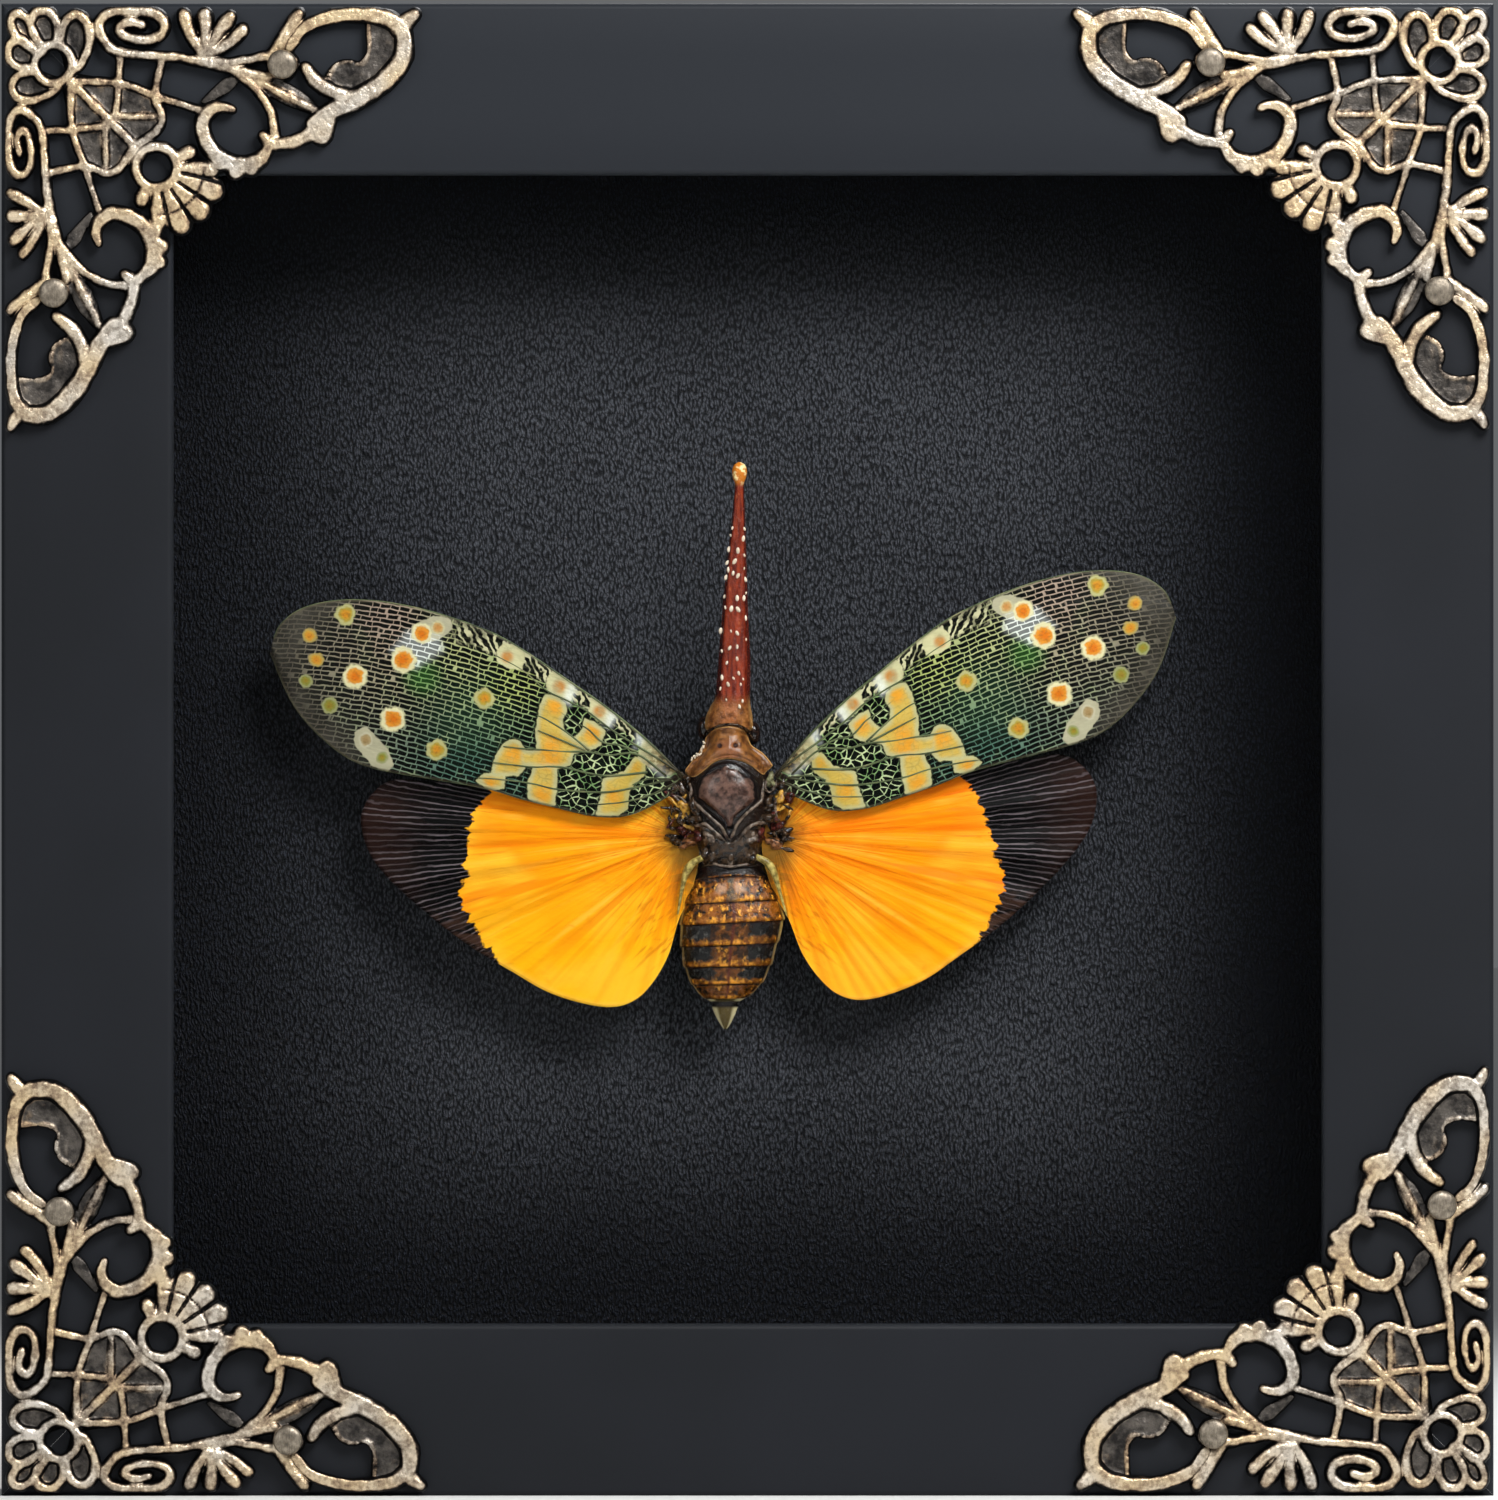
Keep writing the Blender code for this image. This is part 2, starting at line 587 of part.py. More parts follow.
# Legs: (out from the body's middle, y, z) in millimetres, then the radius along them
LEG_PATHS = {
    "front": [(2.1, 3.35, 61.0), (1.9, 4.1, 62.6), (0.9, 4.25, 66.2)],
    "middle": [(2.3, 3.35, 58.6), (5.0, 4.0, 57.2), (8.5, 4.4, 54.8)],
    "hind": [(2.1, 3.5, 56.2), (2.3, 3.9, 53.2), (2.9, 4.4, 47.5)],
}
LEG_RADII = (.32, .28, .16)
LEG_SIDES = 6


def body_ring(z, middle, half_width, front, back):
    """A full oval section of the body, flatter than an ellipse where it is fuller."""
    ring = []
    for k in range(BODY_SIDES):
        angle = 2 * math.pi * k / BODY_SIDES
        c, s = math.cos(angle), math.sin(angle)
        power = 2 / BODY_FULLNESS
        x = middle + half_width * math.copysign(abs(c) ** power, c)
        y = (front + back) / 2 + (back - front) / 2 * math.copysign(abs(s) ** power, s)
        ring.append((x * MM, y * MM, z * MM))
    return ring


def make_body(mat):
    body = solid_of_rings("insect_body", [body_ring(*s) for s in BODY_SECTIONS], mat)
    for x, y, z in EYES:
        bm = bmesh.new()
        size = Matrix.Diagonal((*(r * MM for r in EYE_RADII), 1.0))
        bmesh.ops.create_uvsphere(bm, u_segments=8, v_segments=5, radius=1.0, matrix=size)
        eye = make_object("eye", bm, mat)
        eye.location = (x * MM, y * MM, z * MM)
        bpy.context.view_layer.update()
        combine(body, eye, "UNION")
    return body


def wing_point(out, lead, depth, root, angle, sign):
    """From a wing's own plane to the frame. sign is -1 for the left wing."""
    x = out * math.cos(angle) - lead * math.sin(angle)
    z = out * math.sin(angle) + lead * math.cos(angle)
    return Vector((BODY_X + sign * (root[0] + x), root[1] + depth, root[2] + z))


def sheet_of_rows(name, rows, mat):
    """A thin closed plate from rows of (front point), each row of equal length."""
    bm = bmesh.new()
    back = Vector((0.0, WING_THICKNESS, 0.0))
    front_side = [[bm.verts.new(p) for p in row] for row in rows]
    back_side = [[bm.verts.new(p + back) for p in row] for row in rows]
    last = len(rows[0]) - 1
    for side in (front_side, back_side):
        for a, b in zip(side, side[1:]):
            for i in range(last):
                bm.faces.new((a[i], a[i + 1], b[i + 1], b[i]))
    for i in range(last):
        for row in (0, -1):
            f, b = front_side[row], back_side[row]
            bm.faces.new((f[i], f[i + 1], b[i + 1], b[i]))
    for k in range(len(rows) - 1):
        for i in (0, last):
            bm.faces.new((front_side[k][i], front_side[k + 1][i], back_side[k + 1][i], back_side[k][i]))
    return make_object(name, bm, mat, smooth=True)


def make_forewing(side, mat):
    """Rows run across the wing from its trailing to its leading edge."""
    sign = -1 if side == "left" else 1
    span = FOREWING_LEADING[-1][0]
    rows = []
    for low, high in zip(np.array(FOREWING_TRAILING), np.array(FOREWING_LEADING)):
        row = []
        for k in range(WING_STRIPS + 1):
            t = k / WING_STRIPS
            out, across = low * (1 - t) + high * t
            droop = WING_DROOP * (out / span) ** 2 - WING_CAMBER * math.sin(math.pi * t) * (out / span)
            row.append(wing_point(out * MM, across * MM, droop, FOREWING_ROOT,
                                  FOREWING_ANGLES[side], sign))
        rows.append(row)
    return sheet_of_rows(f"forewing_{side}", rows, mat)


def make_hindwing(side, mat):
    """Rows fan out from the root, with a pleat at every second one."""
    sign = -1 if side == "left" else 1
    hub = np.array(HINDWING_HUB)
    span = max(out for out, _ in HINDWING_EDGE)
    rows = []
    for i, edge in enumerate(HINDWING_EDGE):
        row = []
        for k in range(HINDWING_STRIPS + 1):
            share = HUB_SHARE + (1 - HUB_SHARE) * k / HINDWING_STRIPS
            out, across = hub + (np.array(edge) - hub) * share
            reach = math.hypot(out, across) / span
            depth = HINDWING_DROOP * reach**2 + PLEAT_HEIGHT * (-1) ** i * share
            row.append(wing_point(out * MM, across * MM, depth, HINDWING_ROOT,
                                  HINDWING_ANGLES[side], sign))
        rows.append(row)
    return sheet_of_rows(f"hindwing_{side}", rows, mat)


def tube_rings(points, radii):
    """Rings across a bent tube, turned along its path."""
    rings = []
    for i, point in enumerate(points):
        ahead, behind = points[min(i + 1, len(points) - 1)], points[max(i - 1, 0)]
        way = (ahead - behind).normalized()
        turn = way.to_track_quat("Z", "Y").to_matrix()
        rings.append([
            point + turn @ Vector((math.cos(2 * math.pi * k / LEG_SIDES),
                                   math.sin(2 * math.pi * k / LEG_SIDES), 0.0)) * radii[i]
            for k in range(LEG_SIDES)
        ])
    return rings


def make_leg(name, path, sign, mat):
    points = [Vector((BODY_X + sign * x * MM, y * MM, z * MM)) for x, y, z in path]
    return solid_of_rings(name, tube_rings(points, [r * MM for r in LEG_RADII]), mat)


def main():
    remove_default_objects()
    black_wood = material("black_wood", (0.025, 0.028, 0.031), 0.5)
    clear_pane = material("clear_pane", (1.0, 1.0, 1.0), 0.02, clear=1.0)
    black_foam = material("black_foam", (0.012, 0.012, 0.013), 0.9)
    leatherette = material("black_leatherette", (0.012, 0.014, 0.016), 0.45)
    board = material("brown_board", (0.20, 0.13, 0.08), 0.85)
    steel = material("steel", (0.55, 0.55, 0.56), 0.35, metallic=1.0)
    brass = material("antique_brass", (0.42, 0.33, 0.21), 0.4, metallic=1.0)
    chitin = material("brown_chitin", (0.16, 0.06, 0.03), 0.35)
    forewing = material("green_wing", (0.12, 0.16, 0.06), 0.4)
    hindwing = material("orange_wing", (0.90, 0.38, 0.03), 0.5)

    bars = {side: make_moulding(side, black_wood) for side in ("top", "bottom", "left", "right")}
    pane = (2 * PANEL_HALF, GLASS_THICKNESS, 2 * PANEL_HALF)
    box("glass_pane", (0.0, (GLASS_FRONT_Y + GLASS_BACK_Y) / 2, HALF_SIDE), pane, clear_pane)
    card = (2 * PANEL_HALF, CARD_THICKNESS, 2 * PANEL_HALF)
    box("backing_card", (0.0, CARD_FRONT_Y + CARD_THICKNESS / 2, HALF_SIDE), card, leatherette)
    back = (2 * PANEL_HALF, BOARD_THICKNESS, 2 * PANEL_HALF)
    box("back_board", (0.0, BOARD_FRONT_Y + BOARD_THICKNESS / 2, HALF_SIDE), back, board)

    spacer_depth = CARD_FRONT_Y - GLASS_BACK_Y - 2 * GAP
    spacer_y = (CARD_FRONT_Y + GLASS_BACK_Y) / 2
    spacer_mid = PANEL_HALF - SPACER_WIDTH / 2
    long_side, short_side = 2 * PANEL_HALF, 2 * (PANEL_HALF - SPACER_WIDTH - GAP)
    for side, x, z in (("top", 0, 1), ("bottom", 0, -1), ("left", -1, 0), ("right", 1, 0)):
        size = (SPACER_WIDTH, spacer_depth, short_side) if x else (long_side, spacer_depth, SPACER_WIDTH)
        box(f"spacer_{side}", (x * spacer_mid, spacer_y, HALF_SIDE + z * spacer_mid), size, black_foam)

    for side, bar in bars.items():
        cut_slot(bar, make_tab(side, steel), steel)
    make_hanger(steel, bars["top"])
    make_tacks(make_ornaments(brass), bars, brass)

    make_body(chitin)
    block_y = CARD_FRONT_Y - GAP - BLOCK_SIZE[1] / 2
    box("mount_block", (BODY_X, block_y, BLOCK_Z), BLOCK_SIZE, black_foam)
    for side, sign in (("left", -1), ("right", 1)):
        make_forewing(side, forewing)
        make_hindwing(side, hindwing)
        for pair, path in LEG_PATHS.items():
            make_leg(f"leg_{pair}_{side}", path, sign, chitin)


main()
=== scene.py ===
import math

import bmesh
import bpy
import numpy as np
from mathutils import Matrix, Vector, noise


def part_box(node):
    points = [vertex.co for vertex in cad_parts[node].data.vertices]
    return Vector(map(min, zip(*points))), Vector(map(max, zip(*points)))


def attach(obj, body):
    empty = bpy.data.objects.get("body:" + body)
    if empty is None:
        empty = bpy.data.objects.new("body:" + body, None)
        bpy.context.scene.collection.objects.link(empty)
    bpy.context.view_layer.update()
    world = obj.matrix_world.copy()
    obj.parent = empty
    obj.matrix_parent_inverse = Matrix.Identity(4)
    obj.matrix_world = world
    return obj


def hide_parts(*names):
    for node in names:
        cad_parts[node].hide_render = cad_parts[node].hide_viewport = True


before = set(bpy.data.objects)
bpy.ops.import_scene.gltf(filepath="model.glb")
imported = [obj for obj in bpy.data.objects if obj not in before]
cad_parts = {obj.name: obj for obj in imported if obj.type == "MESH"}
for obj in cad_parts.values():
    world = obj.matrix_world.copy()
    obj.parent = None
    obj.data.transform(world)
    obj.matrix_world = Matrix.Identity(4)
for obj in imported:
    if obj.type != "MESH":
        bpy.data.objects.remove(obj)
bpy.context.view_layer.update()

# Lengths are in millimetres until a mesh is made. x is to the right, y to the back, z up.
MM = 0.001
FRAME_SIDE = 127.0
HALF_SIDE = FRAME_SIDE / 2
MOULDING_WIDTH = 14.6
FRONT_Y, BACK_Y = -12.0, 12.0
LIP_DEPTH, RABBET_WIDTH = 3.0, 5.0
FRONT_EASE, BACK_EASE, MITRE_GAP = 0.5, 0.2, 0.005
WINDOW = HALF_SIDE - MOULDING_WIDTH
ORNAMENT_GAP = 0.3
SIDES = ("top", "bottom", "left", "right")
BODY_X = -1.55
# The photograph's scale, its size and the frame's middle in it
PHOTO_MM = 0.0851
PHOTO_PX = (1498.0, 1500.0)
FRAME_CENTER_PX = (747.5, 749.5)


# Mesh helpers. An edge of a CAD node that turns by more than EDGE_ANGLE degrees is eased.
EDGE_ANGLE, SMOOTH_ANGLE = 35, 30


def add_object(name, data):
    ob = bpy.data.objects.new(name, data)
    bpy.context.scene.collection.objects.link(ob)
    return ob


def finish_piece(name, mesh, mat, node, sharp=None):
    """A visible piece, in place of a CAD node if one is given. sharp is an angle in degrees."""
    ob = add_object(name, mesh)
    mesh.materials.append(mat)
    mesh.shade_smooth()
    if sharp:
        mesh.set_sharp_from_angle(angle=math.radians(sharp))
    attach(ob, "root")
    if node:
        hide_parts(node)
    return ob


def make_piece(name, shape, mat, node, sharp=None):
    """A piece from the millimetre points and the faces of a closed shape."""
    verts, faces = shape
    mesh = bpy.data.meshes.new(name)
    mesh.from_pydata([tuple(v) for v in np.asarray(verts) * MM], [], faces)
    bm = bmesh.new()
    bm.from_mesh(mesh)
    bmesh.ops.recalc_face_normals(bm, faces=bm.faces[:])
    bm.to_mesh(mesh)
    bm.free()
    mesh.validate()
    return finish_piece(name, mesh, mat, node, sharp)


def insect_piece(name, shape, mat):
    return make_piece(name, shape, mat, "insect_body")


def eased(node, mat, width, segments=2):
    """A CAD node's shape with eased edges, in place of the node."""
    bm = bmesh.new()
    bm.from_mesh(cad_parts[node].data)
    bmesh.ops.remove_doubles(bm, verts=bm.verts[:], dist=1e-6)
    bmesh.ops.dissolve_limit(bm, angle_limit=math.radians(1), verts=bm.verts[:], edges=bm.edges[:])
    edges = [e for e in bm.edges if len(e.link_faces) == 2 and e.calc_face_angle() > math.radians(EDGE_ANGLE)]
    bmesh.ops.bevel(bm, geom=edges, offset=width * MM, segments=segments, profile=0.6,
                    affect="EDGES", clamp_overlap=True)
    mesh = bpy.data.meshes.new(f"{node}_eased")
    bm.to_mesh(mesh)
    bm.free()
    finish_piece(f"{node}_eased", mesh, mat, node, SMOOTH_ANGLE)


def set_uv(ob, uv):
    """One UV pair for each vertex."""
    layer = ob.data.uv_layers.new(name="UVMap")
    index = np.zeros(len(ob.data.loops), dtype=np.int32)
    ob.data.loops.foreach_get("vertex_index", index)
    layer.data.foreach_set("uv", np.asarray(uv, dtype=np.float32)[index].ravel())


def set_fields(ob, fields):
    """Named numbers for each vertex, which a material reads."""
    for name, values in fields.items():
        field = ob.data.attributes.new(name, "FLOAT", "POINT")
        field.data.foreach_set("value", np.asarray(values, dtype=np.float32))


def around(count):
    """Even angles of a full turn."""
    return np.linspace(0, 2 * math.pi, count, endpoint=False)


def bell(x, width):
    return np.exp(-((x / width) ** 2))


def smooth_path(points, steps, closed=False):
    """Catmull-Rom curve through the points, with this many steps to each span."""
    pts = np.array(points, dtype=float)
    if closed:
        pts = np.vstack([pts[-1:], pts, pts[:2]])
    else:
        pts = np.vstack([2 * pts[0] - pts[1], pts, 2 * pts[-1] - pts[-2]])
    t = np.arange(steps)[:, None] / steps
    out = [0.5 * (2 * b + (c - a) * t + (2 * a - 5 * b + 4 * c - d) * t**2 + (3 * b - a - 3 * c + d) * t**3)
           for a, b, c, d in zip(pts, pts[1:], pts[2:], pts[3:])]
    return np.vstack(out if closed else out + [pts[-2:-1]])


def directions(points, closed=False):
    """Unit directions along a path."""
    run = np.roll(points, -1, 0) - np.roll(points, 1, 0) if closed else np.gradient(points, axis=0)
    return run / np.linalg.norm(run, axis=1)[:, None]


def skin(rings, close_ends=True):
    """Points and faces over rings of equal point count."""
    count, last = len(rings[0]), (len(rings) - 1) * len(rings[0])
    faces = [(a + i, a + (i + 1) % count, a + count + (i + 1) % count, a + count + i)
             for a in range(0, last, count) for i in range(count)]
    if close_ends:
        faces += [tuple(range(count))[::-1], tuple(range(last, last + count))]
    return np.vstack(rings), faces


def joined(shapes):
    """Several shapes as one."""
    verts, faces, count = [], [], 0
    for points, sides in shapes:
        verts.append(points)
        faces += [tuple(count + i for i in side) for side in sides]
        count += len(points)
    return np.vstack(verts), faces


def tube(points, radii, sides=8):
    """A round bar along a path that doesn't run along y."""
    way = directions(points)
    first = np.cross(way, (0.0, 1.0, 0.0))
    first /= np.linalg.norm(first, axis=1)[:, None]
    second = np.cross(way, first)
    return skin([center + radius * (np.outer(np.cos(around(sides)), a) + np.outer(np.sin(around(sides)), b))
                 for center, radius, a, b in zip(points, radii, first, second)])


def blob(center, radii, tilt, rows, columns, lump=0.0):
    """A small ellipsoid, turned by tilt degrees as seen from the front. lump is how uneven it is."""
    tilt_cos, tilt_sin = math.cos(math.radians(tilt)), math.sin(math.radians(tilt))
    rings = []
    for rise in np.radians(np.linspace(-89, 89, rows)):
        x, z = (radii[k] * math.cos(rise) * turn(around(columns)) for k, turn in ((0, np.cos), (2, np.sin)))
        y = np.full(columns, radii[1] * math.sin(rise))
        rings.append(center + np.column_stack([x * tilt_cos - z * tilt_sin, y, x * tilt_sin + z * tilt_cos]))
    verts, faces = skin(rings)
    if lump:
        swell = np.array([1.0 + lump * noise.noise(p / LUMP_PITCH) for p in verts])
        verts = center + (verts - center) * swell[:, None]
    return verts, faces


def sheet(front, thickness):
    """A closed thin plate from a grid of points, shape (rows, columns, 3)."""
    top = front.reshape(-1, 3)
    count = len(top)
    index = np.arange(count).reshape(front.shape[:2])
    corners = (index[:-1, :-1], index[:-1, 1:], index[1:, 1:], index[1:, :-1])
    quads = np.column_stack([corner.ravel() for corner in corners])
    rim = np.concatenate([index[0], index[1:, -1], index[-1, -2::-1], index[-2:0:-1, 0]])
    ahead = np.roll(rim, -1)
    edge = np.column_stack([ahead, rim, count + rim, count + ahead])
    faces = np.vstack([quads, count + quads[:, ::-1], edge]).tolist()
    return np.vstack([top, top + (0.0, thickness, 0.0)]), faces


# Distances in a plane

def segment_distance(points, a, b):
    run = b - a
    t = np.clip(((points - a) @ run) / max(run @ run, 1e-9), 0.0, 1.0)
    return np.linalg.norm(points - a - t[:, None] * run, axis=1)


def path_distance(points, path):
    pts = np.array(path, dtype=float)
    return np.min([segment_distance(points, a, b) for a, b in zip(pts, pts[1:])], axis=0)


def inside_distance(points, outline):
    """Distance to a closed outline, negative inside it."""
    pts = np.array([*outline, outline[0]], dtype=float)
    inside = np.zeros(len(points), dtype=bool)
    for a, b in zip(pts, pts[1:]):
        crosses = (a[1] > points[:, 1]) != (b[1] > points[:, 1])
        with np.errstate(divide="ignore", invalid="ignore"):
            x = (b[0] - a[0]) * (points[:, 1] - a[1]) / (b[1] - a[1]) + a[0]
        inside ^= crosses & (points[:, 0] < x)
    return np.where(inside, -1, 1) * path_distance(points, pts)


def nearest(points, outlines):
    """Distance to the nearest of several closed outlines."""
    return np.min([inside_distance(points, outline) for outline in outlines], axis=0)


# Material helpers. A colour is the six-digit code that a screen shows.

def rgb(code):
    """Linear colour of a code."""
    parts = [int(code[i:i + 2], 16) / 255 for i in (0, 2, 4)]
    return tuple(p / 12.92 if p <= 0.04045 else ((p + 0.055) / 1.055) ** 2.4 for p in parts)


def is_vector(value):
    return isinstance(value, tuple) or isinstance(value, Value) and value.socket.type == "VECTOR"


class Value:
    """A node's output. Signs make math nodes of it, or vector ones where a vector takes part."""

    def __init__(self, shader, socket):
        self.shader, self.socket = shader, socket

    def __add__(self, other):
        return self.shader.math("ADD", self, other)

    def __sub__(self, other):
        return self.shader.math("SUBTRACT", self, other)

    def __rsub__(self, other):
        return self.shader.math("SUBTRACT", other, self)

    def __mul__(self, other):
        return self.shader.math("MULTIPLY", self, other)

    def __truediv__(self, other):
        return self.shader.math("DIVIDE", self, other)

    def __abs__(self):
        return self.shader.math("ABSOLUTE", self)

    def split(self):
        return [Value(self.shader, output) for output in self.shader.add("SeparateXYZ", self).outputs]

    def away(self, place):
        """Distance from a place."""
        return self.shader.math("DISTANCE", self, place)

    def span(self, low, high, out_low=0.0, out_high=1.0):
        """Mapped softly from low..high to out_low..out_high."""
        soft = {"interpolation_type": "SMOOTHSTEP"}
        return self.shader.value("MapRange", self, low, high, out_low, out_high, settings=soft)

    def fall(self, low, high, top=1.0):
        """top up to low, and 0 from high on."""
        return self.span(low, high, top, 0.0)

    def tones(self, low, high, first, second):
        """The first colour up to low, and the second from high on."""
        return self.shader.mix(self.span(low, high), first, second)

    def coats(self, *coats):
        """This colour under coats of (colour, share)."""
        color = self
        for coat, share in coats:
            color = self.shader.mix(share, color, coat)
        return color

    def ramp(self, *stops):
        """Colours at places along this value."""
        node = self.shader.add("ValToRGB", self)
        elements = node.color_ramp.elements
        while len(elements) < len(stops):
            elements.new(1.0)
        for element, (place, code) in zip(elements, stops):
            element.position = place
            element.color = (*rgb(code), 1.0)
        return Value(self.shader, node.outputs[0])


class Shader:
    """Builds one node material. An input is a number, a tuple, a colour code or a Value."""

    def __init__(self, name):
        self.mat = bpy.data.materials.new(name)
        self.mat.use_nodes = True
        self.tree = self.mat.node_tree
        self.principled = self.tree.nodes["Principled BSDF"]

    def put(self, socket, value):
        if isinstance(value, Value):
            self.tree.links.new(value.socket, socket)
        elif isinstance(value, str):
            socket.default_value = (*rgb(value), 1.0)
        elif isinstance(value, tuple) and socket.type == "RGBA":
            socket.default_value = (*value, 1.0)
        else:
            socket.default_value = value

    def add(self, kind, *values, settings=None, **inputs):
        """A node, with inputs given in their order or by name."""
        node = self.tree.nodes.new("ShaderNode" + kind)
        for key, value in (settings or {}).items():
            setattr(node, key, value)
        for key, value in [*enumerate(values), *inputs.items()]:
            self.put(node.inputs[key], value)
        return node

    def value(self, kind, *values, output=0, **inputs):
        return Value(self, self.add(kind, *values, **inputs).outputs[output])

    def math(self, operation, *values):
        vector = any(is_vector(value) for value in values)
        output = "Value" if not vector or operation == "DISTANCE" else "Vector"
        kind = "VectorMath" if vector else "Math"
        return self.value(kind, *values, output=output, settings={"operation": operation})

    def mix(self, share, first, second, blend="MIX"):
        node = self.add("Mix", settings={"data_type": "RGBA", "blend_type": blend})
        for index, value in ((0, share), (6, first), (7, second)):
            self.put(node.inputs[index], value)
        return Value(self, node.outputs[2])

    def object_mm(self, *stretch):
        """Object coordinates in millimetres, stretched along x, y and z."""
        scale = tuple(s / MM for s in stretch or (1.0, 1.0, 1.0))
        return self.value("TexCoord", output="Object") * scale

    def uv(self):
        return self.value("UVMap", settings={"uv_map": "UVMap"})

    def field(self, name):
        return self.value("Attribute", output="Fac", settings={"attribute_name": name})

    def join(self, x, y):
        return self.value("CombineXYZ", x, y)

    def noise(self, vector, scale, detail=3.0, rough=0.6, distortion=0.0, output="Fac", space="3D"):
        return self.value("TexNoise", output=output, settings={"noise_dimensions": space}, Vector=vector,
                          Scale=scale, Detail=detail, Roughness=rough, Distortion=distortion)

    def voronoi(self, vector, scale, output="Distance", feature="F1", space="3D", **inputs):
        settings = {"feature": feature, "voronoi_dimensions": space}
        return self.value("TexVoronoi", output=output, settings=settings, Vector=vector, Scale=scale,
                          **inputs)

    def surface(self, color, rough, height=None, strength=0.0, depth=0.0, specular=0.5, metallic=0.0):
        """The finished material. Its height makes a bump of this depth in millimetres."""
        inputs = {"Base Color": color, "Roughness": rough, "Metallic": metallic}
        inputs["Specular IOR Level"] = specular
        if height:
            inputs["Normal"] = self.value("Bump", Height=height, Strength=strength, Distance=depth * MM)
        for name, value in inputs.items():
            self.put(self.principled.inputs[name], value)
        return self.mat


# Materials of the frame

def black_paint():
    """Satin paint, with the top bar painted a little lighter as a painted highlight where more light falls on
    it.
    """
    s = Shader("black_paint")
    where = s.object_mm()
    speck, cloud, brush = s.noise(where, 9.0), s.noise(where, 0.05, 2, 0.5), s.noise(where, 1.6, 2, 0.5)
    # The top bar is painted lighter: a painted highlight for the light that falls more on it.
    top = where.split()[2].span(FRAME_SIDE - 27, FRAME_SIDE - 7)
    color = cloud.tones(0.3, 0.7, "181a1e", "1b1d22").coats(("212429", top))
    return s.surface(color, speck.span(0.3, 0.7, 0.42, 0.52), speck * 0.4 + brush, 0.25, 0.02, 0.16)


def leatherette():
    """Fine wavy grain, whose crests are painted lighter as a painted sheen. Towards the frame's walls it is
    painted darker, and near black at its edges, as painted shade.
    """
    s = Shader("black_leatherette")
    x, _, z = s.object_mm().split()
    flat = s.join(x, z)
    wander = s.noise(flat, 0.9, 2, 0.5, output="Color", space="2D") * (0.9, 0.5, 0.0)
    where = flat * (1.9, 0.82, 1.0) + wander
    cells = s.voronoi(where, 2.4, feature="SMOOTH_F1", space="2D", Smoothness=0.2)
    fine = s.noise(flat, 4.0, 3, 0.7, space="2D")
    broad = s.noise(flat, 0.06, 2, 0.5, space="2D")
    height = cells * -0.9 + fine * 0.7
    # Painted shade: rim falls from 1 in the middle to near 0 towards the frame's walls, where their shade
    # lies.
    left, right = x.span(-WINDOW - 2, -WINDOW + 30, 0.08, 1.0), x.fall(WINDOW - 26, WINDOW - 3)
    floor, roof = HALF_SIDE - WINDOW, HALF_SIDE + WINDOW
    rim = left * right * z.span(floor + 2, floor + 24, 0.08, 1.0) * z.fall(roof - 15, roof - 0.5)
    # The grain's crests are painted lighter, a painted sheen.
    middle = (height + broad * 0.15).tones(-0.16, 0.52, "1e1f22", "54565d")
    # Where rim is low the leatherette is painted near black, as painted shade.
    color = s.mix(rim, height.tones(0.0, 0.28, "000003", "161b27"), middle)
    return s.surface(color, rim.span(0.0, 0.8, 0.7, 0.36), height, 0.75, 0.5, 0.14)


def bronze():
    """Worn bright on the high crowns, with dark patina in the pits and grooves. Flanks turned away from the
    front are painted dark as painted shade, and crowns facing it painted brighter as a painted highlight.
    """
    s = Shader("antique_bronze")
    where = s.object_mm()
    blotch, pits, hue = s.noise(where, 0.55), s.noise(where, 2.1, 3, 0.65), s.noise(where, 0.14, 2, 0.5)
    # The share of a surface facing the front drives painted light: flanks turned away are painted dark as
    # shade, and crowns facing it are painted bright as a highlight.
    painted_light_facing = s.value("NewGeometry", output="Normal").split()[1] * -1.0
    level = s.field("height")
    wear_and_painted_light = painted_light_facing.span(0.5, 0.97, -0.3, 0.47) + level.span(0.4, 1.0, 0.0, 0.36)
    wear_and_painted_light = wear_and_painted_light + (pits - 0.5) * 1.4 + (blotch - 0.5) * 1.2 - s.field("groove") * 0.75
    places = (0.0, 0.22, 0.46, 0.72, 0.96)
    gold = wear_and_painted_light.ramp(*zip(places, ("080606", "3d3025", "86705a", "b89f7d", "e0c8a0")))
    silver = wear_and_painted_light.ramp(*zip(places, ("080707", "38322d", "756c62", "a89f93", "ddd4c8")))
    # Low parts turned away from the front are painted near black, as painted shade; the flat webs keep their
    # own dark patina.
    web = painted_light_facing.tones(0.6, 0.95, "070606", (blotch + pits * 0.4).tones(0.5, 0.95, "22201f", "625c56"))
    color = hue.tones(0.35, 0.7, gold, silver).coats((web, level.fall(0.46, 0.54)))
    height = s.noise(where, 1.5) + pits * 0.6
    return s.surface(color, wear_and_painted_light.span(0.3, 1.0, 0.52, 0.34), height, 0.8, 0.16, 0.3, 0.72)


def tack_metal():
    s = Shader("dull_tack_metal")
    grime = s.noise(s.object_mm(), 1.8, 4, 0.65)
    brush = s.noise(s.object_mm(9.0, 1.0, 1.2), 1.4)
    color = (grime * 0.65 + brush * 0.35).ramp((0.32, "4a443c"), (0.5, "807668"), (0.7, "b0a594"))
    return s.surface(color, grime.span(0.3, 0.7, 0.5, 0.38), grime + brush, 0.3, 0.05, metallic=0.75)


